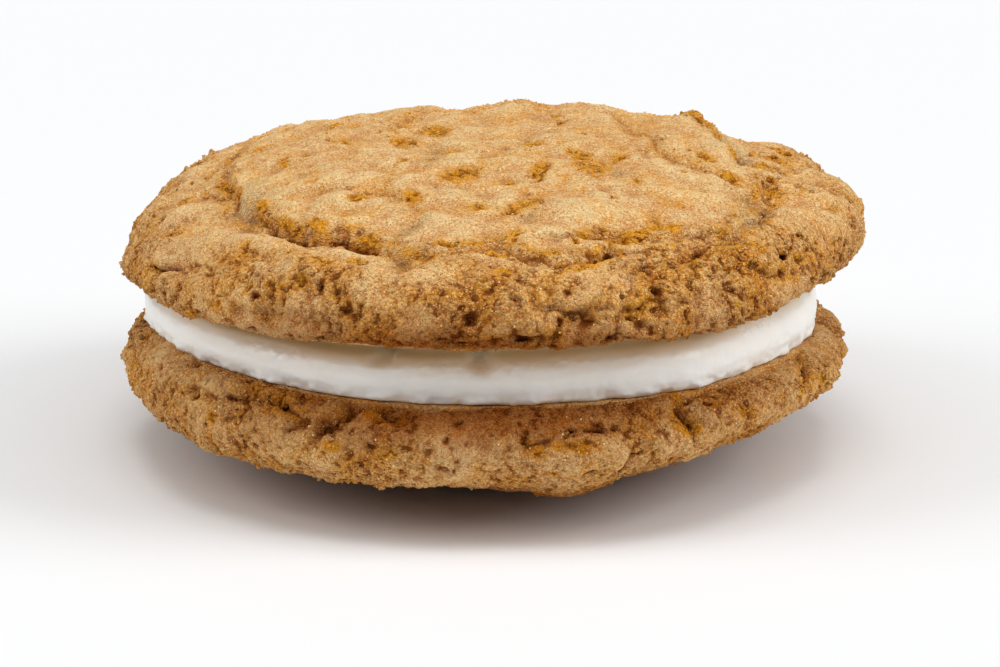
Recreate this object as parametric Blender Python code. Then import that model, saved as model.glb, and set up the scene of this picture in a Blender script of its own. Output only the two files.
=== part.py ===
"""A cookie sandwich: two domed, craggy cookies with their flat sides on a thick layer of cream.

Metres, +Z up. The origin is on the surface that the sandwich stands on, under the middle of its box.
-Y is the side that faces the person it is shown to, and angles run anticlockwise from +X, in degrees.
A point on a cookie is given by its angle and its reach: how far along the crust it lies from the
crown's middle, out over the edge and down the rim.
"""

import math
from dataclasses import dataclass

import bmesh
import bpy
import numpy as np
from mathutils import Vector, noise

# The stack: heights of the two flat sides over the surface
LOWER_FLAT = 0.0154
UPPER_FLAT = 0.0227
PIECE_GAP = 0.0003

# Fineness of the solids: even triangles over the crust, finer ones beside the cracks, few on the flat side
SPHERE_CUTS = 5
FLAT_SHARE = 0.10
FINE_WITHIN = 0.0014
CREAM_AROUND = 80
CUT_SAMPLES = 24
# Within this radius the flat side is plain
PLAIN_RADIUS = 0.0425
CUT_SAMPLES = 24


@dataclass(frozen=True)
class Lobe:
    """A stretch of rim, centred on angle and fading over spread, that goes out or up by size."""

    angle: float
    spread: float
    size: float


@dataclass(frozen=True)
class Swell:
    """A wide stretch of crust at (angle, reach) that goes outwards by out and up by up.

    It fades over spread degrees to each side, and over fade metres along the reach.
    """

    angle: float
    reach: float
    spread: float
    fade: float
    out: float
    up: float


@dataclass(frozen=True)
class Crack:
    """A groove through points given as (angle, reach). rise lifts the crust to the left of it."""

    path: tuple
    width: float
    depth: float
    rise: float = 0.0


@dataclass(frozen=True)
class Lump:
    """A round swelling of the crust at (angle, reach), or a pit where its height is negative."""

    at: tuple
    radius: float
    height: float


@dataclass(frozen=True)
class Cookie:
    """One cookie. cut lists radius and height over the flat side, from the crown to the flat side.

    flat is the height of its flat side over the surface, and lean how far that side rises to +X, in degrees.
    """

    name: str
    cut: tuple
    centre: tuple
    flat: float
    lean: float
    up: int
    swells: tuple
    cracks: tuple
    lumps: tuple
    seed: float


def smoothstep(low, high, value):
    """0 below low, 1 above high, and a smooth change between."""
    t = np.clip((value - low) / (high - low), 0.0, 1.0)
    return t * t * (3.0 - 2.0 * t)


def smooth_curve(points, samples):
    """A curve through the points, with that many pieces to each span."""
    p = np.array([points[0], *points, points[-1]], float)
    t = np.linspace(0.0, 1.0, samples, endpoint=False)[:, None]
    spans = [
        0.5 * (2 * b + (c - a) * t + (2 * a - 5 * b + 4 * c - d) * t**2 + (3 * b - a - 3 * c + d) * t**3)
        for a, b, c, d in zip(p[:-3], p[1:-2], p[2:-1], p[3:])
    ]
    return np.concatenate([*spans, p[-1:]])


def whole_cut(cookie):
    """The plain cut as a smooth curve: radius, height and reach of its points."""
    curve = smooth_curve(cookie.cut, CUT_SAMPLES)
    reach = np.concatenate([[0.0], np.cumsum(np.linalg.norm(np.diff(curve, axis=0), axis=1))])
    return curve[:, 0], curve[:, 1], reach


def cut_at(cookie, reach):
    """Radius and height of the plain cut at each reach."""
    radius, height, along = whole_cut(cookie)
    return np.interp(reach, along, radius), np.interp(reach, along, height)


def plain_from(cookie):
    """Reach at which the flat side begins to be plain, and that of its middle."""
    radius, _, along = whole_cut(cookie)
    return along[-1] - PLAIN_RADIUS, along[-1]


def lobes_at(lobes, angle):
    """The sum of the lobes at each angle."""
    total = np.zeros(np.shape(angle))
    for lobe in lobes:
        away = (angle - lobe.angle + 180.0) % 360.0 - 180.0
        total += lobe.size * np.exp(-0.5 * (away / lobe.spread) ** 2)
    return total


def swelling(cookie, angle, reach):
    """How far the cookie's swells push each (angle, reach) outwards and up."""
    out = np.zeros(np.shape(reach))
    up = np.zeros(np.shape(reach))
    for swell in cookie.swells:
        away = (angle - swell.angle + 180.0) % 360.0 - 180.0
        share = np.exp(-0.5 * (away / swell.spread) ** 2 - 0.5 * ((reach - swell.reach) / swell.fade) ** 2)
        out += swell.out * share
        up += swell.up * share
    return out, up


def place(cookie, angle, reach):
    """Where each (angle, reach) lies on the smooth cookie, before its relief."""
    radius, height = cut_at(cookie, reach)
    edge, middle = plain_from(cookie)
    out, up = swelling(cookie, angle, reach)
    radius = radius + out * smoothstep(0.0, 0.010, radius) * smoothstep(0.0, 0.010, middle - reach)
    turn = np.radians(angle)
    x = cookie.centre[0] + radius * np.cos(turn)
    y = cookie.centre[1] + radius * np.sin(turn)
    z = cookie.flat + cookie.up * height + up * (1.0 - smoothstep(edge - 0.004, edge, reach))
    return np.stack([x, y, z + math.tan(math.radians(cookie.lean)) * x], axis=-1)


def distance_to_path(points, path):
    """Distance of each point to a line through the path's points, and the side of the line it is on."""
    nearest = np.full(len(points), np.inf)
    side = np.ones(len(points))
    for start, end in zip(path[:-1], path[1:]):
        run = end - start
        t = np.clip((points - start) @ run / (run @ run), 0.0, 1.0)
        away = points - start - t[:, None] * run
        gap = np.linalg.norm(away, axis=1)
        closer = gap < nearest
        turned = run[0] * away[:, 1] - run[1] * away[:, 0]
        side[closer] = np.sign(turned[closer])
        nearest[closer] = gap[closer]
    return nearest, side


def waves(points, wavelength, octaves, seed):
    """Smooth random values, mostly from -1 to 1, that change over about one wavelength."""
    shift = Vector((seed, 2.0 * seed, 3.0 * seed))
    return np.array([noise.fractal(Vector(p) / wavelength + shift, 0.8, 2.1, octaves) for p in points])


def crack_lines(cookie):
    """Each crack with the points of its line on the smooth cookie."""
    for crack in cookie.cracks:
        stops = smooth_curve(crack.path, 4)
        yield crack, place(cookie, stops[:, 0], stops[:, 1])


def relief(cookie, points, reach):
    """How far the crust stands off the smooth cookie at each point, in metres."""
    edge, _ = plain_from(cookie)
    off = 0.0003 * waves(points, 0.016, 2, cookie.seed) + 0.00022 * waves(points, 0.0065, 2, cookie.seed + 7.0)
    for lump in cookie.lumps:
        at = place(cookie, np.array([lump.at[0]]), np.array([lump.at[1]]))[0]
        gap = np.linalg.norm(points - at, axis=1)
        off += lump.height * np.exp(-((gap / lump.radius) ** 2))
    for crack, line in crack_lines(cookie):
        gap, side = distance_to_path(points, line)
        off -= crack.depth * np.exp(-((gap / crack.width) ** 2))
        past = smoothstep(-0.5 * crack.width, 0.5 * crack.width, side * gap)
        off += crack.rise * past * np.exp(-gap / (4.0 * crack.width))
    return off * (1.0 - smoothstep(edge - 0.002, edge, reach))


def finish(name, bm, colour, roughness):
    """Turns a bmesh into a named object with its own material."""
    bmesh.ops.recalc_face_normals(bm, faces=bm.faces)
    mesh = bpy.data.meshes.new(name)
    bm.to_mesh(mesh)
    bm.free()
    mesh.shade_smooth()
    material = bpy.data.materials.new(name)
    material.use_nodes = True
    shader = material.node_tree.nodes["Principled BSDF"]
    shader.inputs["Base Color"].default_value = (*colour, 1.0)
    shader.inputs["Roughness"].default_value = roughness
    mesh.materials.append(material)
    obj = bpy.data.objects.new(name, mesh)
    bpy.context.scene.collection.objects.link(obj)
    return obj


def spun(cut, steps):
    """A closed body of revolution. cut lists (radius, height) and starts and ends on the axis."""
    bm = bmesh.new()
    ring = [bm.verts.new((r, 0.0, h)) for r, h in cut]
    edges = [bm.edges.new(pair) for pair in zip(ring[:-1], ring[1:])]
    bmesh.ops.spin(bm, geom=[*ring, *edges], cent=(0, 0, 0), axis=(0, 0, 1), angle=math.tau, steps=steps)
    bmesh.ops.remove_doubles(bm, verts=bm.verts, dist=1e-6)
    return bm


def spread(cookie, sphere):
    """Angle and reach of each point of a unit sphere, so that its triangles cover the crust evenly."""
    radius, _, along = whole_cut(cookie)
    edge, _ = plain_from(cookie)
    share = np.where(along[1:] < edge, 1.0, FLAT_SHARE)
    area = np.concatenate([[0.0], np.cumsum(share * np.diff(along) * (radius[1:] + radius[:-1]) / 2.0)])
    covered = (1.0 - np.clip(sphere[:, 2], -1.0, 1.0)) / 2.0
    return np.degrees(np.arctan2(sphere[:, 1], sphere[:, 0])), np.interp(covered, area / area[-1], along)


def make_cookie(cookie, colour):
    """The cookie's solid: a ball of even triangles laid over its cut, and pushed in and out by its relief."""
    bm = bmesh.new()
    bmesh.ops.create_icosphere(bm, subdivisions=SPHERE_CUTS, radius=1.0)
    points = place(cookie, *spread(cookie, np.array([v.co for v in bm.verts])))
    nearest = np.min([distance_to_path(points, line)[0] for _, line in crack_lines(cookie)], axis=0)
    bm.verts.index_update()
    fine = [e for e in bm.edges if max(nearest[v.index] for v in e.verts) < FINE_WITHIN]
    bmesh.ops.subdivide_edges(bm, edges=fine, cuts=1)
    bmesh.ops.triangulate(bm, faces=bm.faces)
    sphere = np.array([v.co.normalized() for v in bm.verts])
    angle, reach = spread(cookie, sphere)
    for vert, point in zip(bm.verts, place(cookie, angle, reach)):
        vert.co = point
    bmesh.ops.recalc_face_normals(bm, faces=bm.faces)
    bm.normal_update()
    points = np.array([v.co for v in bm.verts])
    normals = np.array([v.normal for v in bm.verts])
    points += normals * relief(cookie, points, reach)[:, None]
    points[:, 2] = np.maximum(points[:, 2], 0.0)
    for vert, point in zip(bm.verts, points):
        vert.co = point
    return finish(cookie.name, bm, colour, 0.85)


TOP_COOKIE = Cookie(
    name="top_cookie",
    cut=(
        (0.0, 0.0148),
        (0.0120, 0.0147),
        (0.0230, 0.0138),
        (0.0310, 0.0119),
        (0.0355, 0.0100),
        (0.0385, 0.0096),
        (0.0415, 0.0086),
        (0.0440, 0.0064),
        (0.0450, 0.0034),
        (0.0440, 0.0012),
        (0.0415, 0.0002),
        (0.0380, 0.0),
        (0.0, 0.0),
    ),
    centre=(0.0, 0.0),
    flat=UPPER_FLAT,
    lean=0.9,
    up=1,
    swells=(
        Swell(188, 0.048, 24, 0.012, -0.0014, 0.0),
        Swell(185, 0.046, 28, 0.006, 0.0, -0.0022),
        Swell(332, 0.050, 13, 0.010, -0.0013, 0.0),
        Swell(232, 0.052, 14, 0.005, 0.0, -0.0006),
        Swell(304, 0.0505, 15, 0.005, 0.0, -0.0020),
        Swell(20, 0.042, 15, 0.012, -0.0008, -0.0008),
        Swell(128, 0.037, 20, 0.010, 0.0, 0.0007),
        Swell(106, 0.031, 12, 0.008, 0.0, -0.0008),
        Swell(352, 0.047, 18, 0.006, 0.0, 0.0004),
    ),
    cracks=(
        # The crease that parts the rim from the crown, from the left round the front to the right
        Crack(((186, 0.0320), (200, 0.0331), (214, 0.0351), (221, 0.0346)), 0.0012, 0.0014),
        Crack(((221, 0.0346), (234, 0.0369), (248, 0.0362)), 0.0014, 0.0022),
        Crack(((246, 0.0364), (253, 0.0384), (258, 0.0402)), 0.0013, 0.0020),
        Crack(((260, 0.0385), (271, 0.0369), (280, 0.0408), (290, 0.0402)), 0.0011, 0.0012),
        Crack(((291, 0.0368), (299, 0.0372), (308, 0.0385)), 0.0012, 0.0011),
        Crack(((300, 0.0416), (306, 0.0410), (318, 0.0395), (329, 0.0380), (339, 0.0348)), 0.0014, 0.0018),
        # The same crease round the back
        Crack(((58, 0.0340), (82, 0.0356), (104, 0.0346), (128, 0.0358)), 0.0014, 0.0013),
        Crack(((132, 0.0345), (152, 0.0332), (176, 0.0340)), 0.0013, 0.0012),
        # The fold at the right, where the crown stands over the rim
        Crack(((-3, 0.0440), (2, 0.0385), (-5, 0.0358), (-11, 0.0325), (-4, 0.0300), (12, 0.0292), (32, 0.0315)),
              0.0013, 0.0020, 0.0010),
        # Cracks across the crown
        Crack(((38, 0.0200), (10, 0.0178), (-20, 0.0215), (-26, 0.0275)), 0.0010, 0.0007, 0.0004),
        Crack(((228, 0.0271), (244, 0.0250), (255, 0.0297)), 0.0012, 0.0005),
        Crack(((150, 0.0120), (118, 0.0190), (96, 0.0180), (74, 0.0230)), 0.0012, 0.0007, 0.0003),
        # Fissures and notches in the rim's face
        Crack(((277, 0.0459), (284, 0.0468), (296, 0.0465)), 0.0009, 0.0016, 0.0004),
        Crack(((262, 0.0501), (270, 0.0503), (279, 0.0496)), 0.0009, 0.0012),
        Crack(((206, 0.0459), (216, 0.0454), (225, 0.0447)), 0.0010, 0.0013, 0.0003),
        Crack(((209, 0.0465), (210, 0.0493), (210, 0.0512)), 0.0008, 0.0016),
        Crack(((231, 0.0480), (238, 0.0483), (245, 0.0486)), 0.0009, 0.0010),
        Crack(((248, 0.0445), (250, 0.0459), (252, 0.0472)), 0.0008, 0.0012),
        Crack(((315, 0.0460), (322, 0.0470), (331, 0.0462)), 0.0009, 0.0011),
        Crack(((60, 0.0462), (71, 0.0455), (80, 0.0470)), 0.0010, 0.0014),
        Crack(((101, 0.0440), (104, 0.0465), (102, 0.0495)), 0.0009, 0.0014),
        Crack(((140, 0.0470), (153, 0.0462), (167, 0.0472)), 0.0010, 0.0012),
    ),
    lumps=(
        # The crown's high back edge, and the loose flake that stands on it
        Lump((70, 0.0230), 0.0090, 0.0008),
        Lump((38, 0.0325), 0.0034, 0.0015),
        # Swellings and pits of the rim
        Lump((196, 0.0400), 0.0045, 0.0006),
        Lump((240, 0.0420), 0.0040, 0.0008),
        Lump((252, 0.0425), 0.0030, 0.0006),
        Lump((15, 0.0400), 0.0060, 0.0009),
        Lump((346, 0.0425), 0.0055, 0.0008),
        Lump((268, 0.0472), 0.0012, -0.0010),
        Lump((285, 0.0487), 0.0020, -0.0012),
        Lump((240, 0.0462), 0.0010, -0.0011),
        Lump((306, 0.0472), 0.0010, -0.0009),
    ),
    seed=1.0,
)

BOTTOM_COOKIE = Cookie(
    name="bottom_cookie",
    cut=(
        (0.0, 0.0172),
        (0.0120, 0.0164),
        (0.0230, 0.0142),
        (0.0310, 0.0118),
        (0.0365, 0.0100),
        (0.0408, 0.0080),
        (0.0434, 0.0058),
        (0.0441, 0.0036),
        (0.0433, 0.0014),
        (0.0415, 0.0002),
        (0.0380, 0.0),
        (0.0, 0.0),
    ),
    centre=(-0.0004, 0.0),
    flat=LOWER_FLAT,
    lean=-0.5,
    up=-1,
    swells=(
        Swell(182, 0.048, 28, 0.005, -0.0005, -0.0010),
        Swell(182, 0.057, 28, 0.004, -0.0014, 0.0),
        Swell(350, 0.057, 24, 0.004, 0.0005, 0.0008),
        Swell(345, 0.046, 24, 0.005, -0.0006, 0.0006),
        Swell(320, 0.040, 24, 0.009, 0.0, 0.0014),
        Swell(228, 0.040, 24, 0.009, 0.0, -0.0008),
    ),
    cracks=(
        Crack(((219, 0.0505), (224, 0.0504), (231, 0.0520), (242, 0.0507)), 0.0010, 0.0013, 0.0004),
        Crack(((251, 0.0540), (248, 0.0512), (245, 0.0497)), 0.0013, 0.0022),
        Crack(((253, 0.0530), (258, 0.0528), (264, 0.0548)), 0.0012, 0.0013),
        Crack(((336, 0.0550), (333, 0.0522), (329, 0.0497), (325, 0.0481)), 0.0010, 0.0018, 0.0003),
        Crack(((308, 0.0553), (302, 0.0526), (300, 0.0504), (301, 0.0484)), 0.0010, 0.0014),
        Crack(((276, 0.0490), (284, 0.0498), (292, 0.0490)), 0.0009, 0.0009),
        Crack(((20, 0.0500), (34, 0.0486), (46, 0.0502)), 0.0010, 0.0013),
        Crack(((70, 0.0530), (74, 0.0500), (71, 0.0470)), 0.0010, 0.0015),
        Crack(((100, 0.0490), (118, 0.0478), (132, 0.0490)), 0.0010, 0.0012),
        Crack(((160, 0.0535), (163, 0.0505), (168, 0.0480)), 0.0010, 0.0014),
        Crack(((182, 0.0500), (194, 0.0488), (206, 0.0494)), 0.0010, 0.0010),
        # Cracks round the crown that it stands on
        Crack(((30, 0.0330), (62, 0.0345), (95, 0.0330)), 0.0014, 0.0013),
        Crack(((120, 0.0350), (150, 0.0330), (178, 0.0345)), 0.0014, 0.0012),
        Crack(((205, 0.0360), (238, 0.0345), (262, 0.0360)), 0.0014, 0.0010),
        Crack(((290, 0.0350), (318, 0.0335), (350, 0.0350)), 0.0014, 0.0012),
    ),
    lumps=(
        Lump((285, 0.0370), 0.0060, 0.0013),
        Lump((285, 0.0432), 0.0035, 0.0006),
        Lump((262, 0.0440), 0.0040, 0.0005),
        Lump((300, 0.0440), 0.0030, 0.0005),
        Lump((225, 0.0470), 0.0035, 0.0005),
        Lump((264, 0.0469), 0.0010, -0.0012),
        Lump((292, 0.0494), 0.0012, -0.0010),
        Lump((20, 0.0430), 0.0050, 0.0006),
        Lump((110, 0.0440), 0.0050, 0.0006),
    ),
    seed=20.0,
)


def cream_height(cookie, x):
    """Height of a cookie's flat side over the surface, where the cream meets it."""
    return cookie.flat + math.tan(math.radians(cookie.lean)) * x


CREAM_RADIUS = 0.0405
CREAM_OUTLINE = (Lobe(0, 30, -0.0016), Lobe(200, 30, 0.0004), Lobe(285, 40, 0.0003))
# The cream's edge, from its foot to its top: how far it stands out, and its share of the height
CREAM_EDGE = (
    (-0.0008, 0.0),
    (0.0002, 0.12),
    (0.0006, 0.30),
    (0.0002, 0.50),
    (-0.0008, 0.68),
    (-0.0014, 0.85),
    (-0.0016, 1.0),
)


def make_cream():
    """The cream's solid: a thick disc whose edge bulges low down and draws in under the top cookie."""
    cut = [(0.0, 0.0), (0.5 * CREAM_RADIUS, 0.0)]
    cut += [(CREAM_RADIUS + out, share) for out, share in CREAM_EDGE]
    cut += [(0.5 * CREAM_RADIUS, 1.0), (0.0, 1.0)]
    bm = spun([(r, 0.01 * share) for r, share in cut], CREAM_AROUND)
    points = np.array([v.co for v in bm.verts])
    angle = np.degrees(np.arctan2(points[:, 1], points[:, 0]))
    share = points[:, 2] / 0.01
    radius = np.hypot(points[:, 0], points[:, 1])
    grown = 1.0 + lobes_at(CREAM_OUTLINE, angle) / CREAM_RADIUS
    points[:, :2] *= grown[:, None]
    low = cream_height(BOTTOM_COOKIE, points[:, 0]) + PIECE_GAP
    high = cream_height(TOP_COOKIE, points[:, 0]) - PIECE_GAP
    points[:, 2] = low + (high - low) * share
    for vert, point in zip(bm.verts, points):
        vert.co = point
    return finish("cream_filling", bm, (0.86, 0.84, 0.78), 0.45)


def main():
    """Clears the scene and builds the three pieces."""
    for obj in list(bpy.data.objects):
        bpy.data.objects.remove(obj)
    make_cookie(BOTTOM_COOKIE, (0.47, 0.22, 0.07))
    make_cream()
    make_cookie(TOP_COOKIE, (0.62, 0.33, 0.12))


main()
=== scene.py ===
"""The looks of a cookie sandwich: two domed, craggy cookies with their flat sides on a layer of cream.

Metres, +Z up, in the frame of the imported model. -Y faces the viewer, and angles run anticlockwise
from +X, in degrees. A point on a cookie is given by its angle and its reach: how far along the crust
it lies from the crown's middle, out over the edge and down the rim.
"""

import enum
import logging
import math
from collections.abc import Iterator, Sequence
from dataclasses import dataclass, field

import bpy
import numpy as np
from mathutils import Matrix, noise


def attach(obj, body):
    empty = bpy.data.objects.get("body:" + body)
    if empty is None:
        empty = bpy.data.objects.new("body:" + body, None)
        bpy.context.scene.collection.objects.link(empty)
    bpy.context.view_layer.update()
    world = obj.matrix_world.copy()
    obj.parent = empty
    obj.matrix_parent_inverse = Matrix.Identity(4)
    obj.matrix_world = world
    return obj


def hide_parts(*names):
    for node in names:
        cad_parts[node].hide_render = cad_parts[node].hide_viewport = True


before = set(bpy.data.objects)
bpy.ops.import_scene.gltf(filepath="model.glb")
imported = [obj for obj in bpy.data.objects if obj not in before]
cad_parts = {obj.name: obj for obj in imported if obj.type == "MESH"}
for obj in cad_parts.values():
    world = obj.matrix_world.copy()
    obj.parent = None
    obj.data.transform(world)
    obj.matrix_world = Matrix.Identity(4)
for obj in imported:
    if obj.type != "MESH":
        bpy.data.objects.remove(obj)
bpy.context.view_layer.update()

LOG = logging.getLogger("cookie_sandwich")

MM = 0.001
PIECE_GAP = 0.00006
# A cookie's radius at its rim, for turning lengths round it into angles
RIM_RADIUS = 0.044
# How far a point stands over its surroundings where it counts as a ridge, or lies under them as a bowl
RIDGE_HEIGHT = 0.00008
BOWL_DEPTH = 0.00030
# How many lumps a loose crumb is wide, and how uneven they make it, as a share of its size
CRUMB_LUMPS = 1.7
CRUMB_UNEVEN = 1.3
SENSOR_WIDTH = 36.0
NEAREST_SEEN = 0.01
CUT_SAMPLES = 24
# Within this radius a cookie's flat side is plain
PLAIN_RADIUS = 0.0425
# Blender's random vectors start from the time of day unless they are given a seed
NOISE_SEED = 7
# What ridged noise comes to on average
BILLOWS_MEAN = 0.3


class Facing(enum.IntEnum):
    """Which way a cookie's crown faces."""

    UP = 1
    DOWN = -1


class Shape(enum.Enum):
    """What a scattered grain looks like."""

    CRYSTAL = "crystal"
    GRIT = "grit"
    CRUMB = "crumb"


class Tone(enum.Enum):
    """What a torn or hollow place shows: golden crumb, painted shade deep inside, painted shade over a
    hollow, or plain skin.
    """

    GOLD = "gold"
    DARK = "dark"
    HOLLOW_SHADE = "hollow_shade"
    SKIN = "skin"


def smoothstep(low: float, high: float, value: np.ndarray) -> np.ndarray:
    """Args: low and high, the ends of the change, and value. Returns: 0 below low, 1 above high."""
    t = np.clip((value - low) / (high - low), 0.0, 1.0)
    return t * t * (3.0 - 2.0 * t)


def bell(*offsets: np.ndarray) -> np.ndarray:
    """Args: offsets, in spreads from the middle, each one way. Returns: 1 in the middle, fading to 0."""
    return np.exp(-0.5 * sum(off**2 for off in offsets))


def way_round(angle: np.ndarray, start: float) -> np.ndarray:
    """Args: angle and start, in degrees. Returns: how far round each angle lies from start, -180 to 180."""
    return (angle - start + 180.0) % 360.0 - 180.0


def smooth_curve(points: Sequence[Sequence[float]], samples: int) -> np.ndarray:
    """A curve through points.

    Args:
        points: the points that it goes through.
        samples: how many pieces each span gets.

    Returns:
        The curve's points, one a row.
    """
    p = np.array([points[0], *points, points[-1]], float)
    t = np.linspace(0.0, 1.0, samples, endpoint=False)[:, None]
    spans = [
        0.5 * (2 * b + (c - a) * t + (2 * a - 5 * b + 4 * c - d) * t**2 + (3 * b - a - 3 * c + d) * t**3)
        for a, b, c, d in zip(p[:-3], p[1:-2], p[2:-1], p[3:])
    ]
    return np.concatenate([*spans, p[-1:]])


def waves(points: np.ndarray, wavelength: float, octaves: int, seed: float) -> np.ndarray:
    """Smooth random values, mostly from -1 to 1.

    Args:
        points: where, one point a row.
        wavelength: the distance over which they change.
        octaves: how many finer layers are added to each other.
        seed: which of the endless patterns is taken.

    Returns:
        One value for each point.
    """
    at = points / wavelength + seed * np.array([1.0, 2.0, 3.0])
    return np.array([noise.fractal(p, 0.8, 2.1, octaves) for p in at.tolist()])


def billows(points: np.ndarray, wavelength: float, octaves: int, seed: float) -> np.ndarray:
    """Round swellings with sharp creases between them.

    Args:
        points: where, one point a row.
        wavelength: how wide a swelling is.
        octaves: how many finer layers are added to each other.
        seed: which of the endless patterns is taken.

    Returns:
        One value for each point, about 0 on average and lowest in the creases.
    """
    at = points / wavelength + seed * np.array([3.0, 1.0, 2.0])
    finer = {"amplitude_scale": 0.5, "frequency_scale": 2.1}
    return np.array([noise.turbulence(p, octaves, True, **finer) for p in at.tolist()]) - BILLOWS_MEAN


def wander(points: np.ndarray, wavelength: float, seed: float) -> np.ndarray:
    """Args: points, wavelength and seed as for waves. Returns: a smooth random vector for each point."""
    at = points / wavelength + seed
    return np.array([noise.noise_vector(p) for p in at.tolist()])


def shaken(points: np.ndarray, *layers: tuple[float, float, float]) -> np.ndarray:
    """Args: points, and layers as (strength, wavelength, seed). Returns: the points, shifted at random."""
    moved = points
    for strength, wavelength, seed in layers:
        moved = moved + strength * wander(points, wavelength, seed)
    return moved


def cells(points: np.ndarray, size: float, seed: float) -> np.ndarray:
    """A pattern of packed grains.

    Args:
        points: where, one point a row.
        size: how wide a grain is.
        seed: which pattern is taken.

    Returns:
        How far each point is from its grain's middle, in grain widths.
    """
    at = points / size + seed
    return np.array([noise.voronoi(p)[0][0] for p in at.tolist()])


def distance_to_path(points: np.ndarray, path: np.ndarray) -> tuple[np.ndarray, np.ndarray]:
    """Measures how far points are from a line.

    Args:
        points: the points, one a row.
        path: the line's points, one a row.

    Returns:
        Each point's distance, and 1 where it lies to the left of the line or -1 to the right.
    """
    nearest = np.full(len(points), np.inf)
    side = np.ones(len(points))
    for start, end in zip(path[:-1], path[1:]):
        run = end - start
        t = np.clip((points - start) @ run / (run @ run), 0.0, 1.0)
        away = points - start - t[:, None] * run
        gap = np.linalg.norm(away, axis=1)
        closer = gap < nearest
        turned = run[0] * away[:, 1] - run[1] * away[:, 0]
        side[closer] = np.sign(turned[closer])
        nearest[closer] = gap[closer]
    return nearest, side


def geodesic_sphere(parts: int) -> tuple[np.ndarray, np.ndarray]:
    """A unit sphere of even triangles: an icosahedron whose edges are cut into equal parts.

    Args:
        parts: how many parts each edge is cut into.

    Returns:
        The points, and the triangles as rows of three point numbers, facing outwards.
    """
    golden = (1.0 + math.sqrt(5.0)) / 2.0
    corners = [(0, s, t * golden) for s in (-1, 1) for t in (-1, 1)]
    corners = np.array([(p[i], p[i - 1], p[i - 2]) for p in corners for i in range(3)], float)
    side = np.linalg.norm(corners[:, None] - corners[None], axis=2)
    near = np.isclose(side, 2.0)
    faces = [
        (a, b, c)
        for a in range(12)
        for b in range(a + 1, 12)
        for c in range(b + 1, 12)
        if near[a, b] and near[b, c] and near[a, c]
    ]
    i, j = np.meshgrid(np.arange(parts + 1), np.arange(parts + 1), indexing="ij")
    inside = i + j <= parts
    number = np.full(inside.shape, -1)
    number[inside] = np.arange(inside.sum())
    up = i + j < parts
    down = i + j < parts - 1
    first = np.stack([number[i[up], j[up]], number[i[up] + 1, j[up]], number[i[up], j[up] + 1]], axis=1)
    second = np.stack(
        [number[i[down] + 1, j[down]], number[i[down] + 1, j[down] + 1], number[i[down], j[down] + 1]], axis=1
    )
    pattern = np.concatenate([first, second])
    points, triangles = [], []
    for a, b, c in faces:
        if np.dot(np.cross(corners[b] - corners[a], corners[c] - corners[a]), corners[a]) < 0.0:
            b, c = c, b
        rest = (parts - i - j)[inside][:, None]
        patch = corners[a] * rest + corners[b] * i[inside][:, None] + corners[c] * j[inside][:, None]
        triangles.append(pattern + len(points) * len(patch))
        points.append(patch / np.linalg.norm(patch, axis=1)[:, None])
    every = np.concatenate(points)
    _, kept, same = np.unique(np.round(every, 6), axis=0, return_index=True, return_inverse=True)
    return every[kept], same.ravel()[np.concatenate(triangles)]


def point_normals(points: np.ndarray, triangles: np.ndarray) -> np.ndarray:
    """Args: points and triangles of a mesh. Returns: the outward direction at each point."""
    a, b, c = (points[triangles[:, k]] for k in range(3))
    normal = np.cross(b - a, c - a)
    total = np.zeros_like(points)
    for k in range(3):
        np.add.at(total, triangles[:, k], normal)
    return total / (np.linalg.norm(total, axis=1)[:, None] + 1e-15)


def smoothed(points: np.ndarray, triangles: np.ndarray, rounds: int) -> np.ndarray:
    """Evens out a closed mesh.

    Args:
        points: its points, one a row.
        triangles: its triangles, as rows of point numbers.
        rounds: how many times each point moves to the middle of its neighbours.

    Returns:
        The moved points.
    """
    starts = triangles.ravel()
    ends = np.roll(triangles, -1, axis=1).ravel()
    count = np.bincount(starts, minlength=len(points))
    for _ in range(rounds):
        sums = [np.bincount(starts, points[ends, k], len(points)) / count for k in range(3)]
        points = np.stack(sums, axis=1)
    return points


def mesh_object(
    name: str, points: np.ndarray, faces: np.ndarray, marks: dict[str, np.ndarray]
) -> bpy.types.Object:
    """Makes a smooth mesh object.

    Args:
        name: the object's name.
        points: its points, one a row.
        faces: its faces, as rows of point numbers.
        marks: named values for each point, which materials and scattering read.

    Returns:
        The new object, in the scene.
    """
    mesh = bpy.data.meshes.new(name)
    corners = faces.shape[1]
    mesh.vertices.add(len(points))
    mesh.vertices.foreach_set("co", points.astype(np.float32).ravel())
    mesh.loops.add(faces.size)
    mesh.loops.foreach_set("vertex_index", faces.astype(np.int32).ravel())
    mesh.polygons.add(len(faces))
    mesh.polygons.foreach_set("loop_start", np.arange(0, faces.size, corners, dtype=np.int32))
    mesh.update()
    mesh.validate()
    mesh.shade_smooth()
    for key, values in marks.items():
        mark = mesh.attributes.new(key, "FLOAT", "POINT")
        mark.data.foreach_set("value", values.astype(np.float32))
    obj = bpy.data.objects.new(name, mesh)
    bpy.context.scene.collection.objects.link(obj)
    return obj


Colour = tuple[float, float, float]


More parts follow.
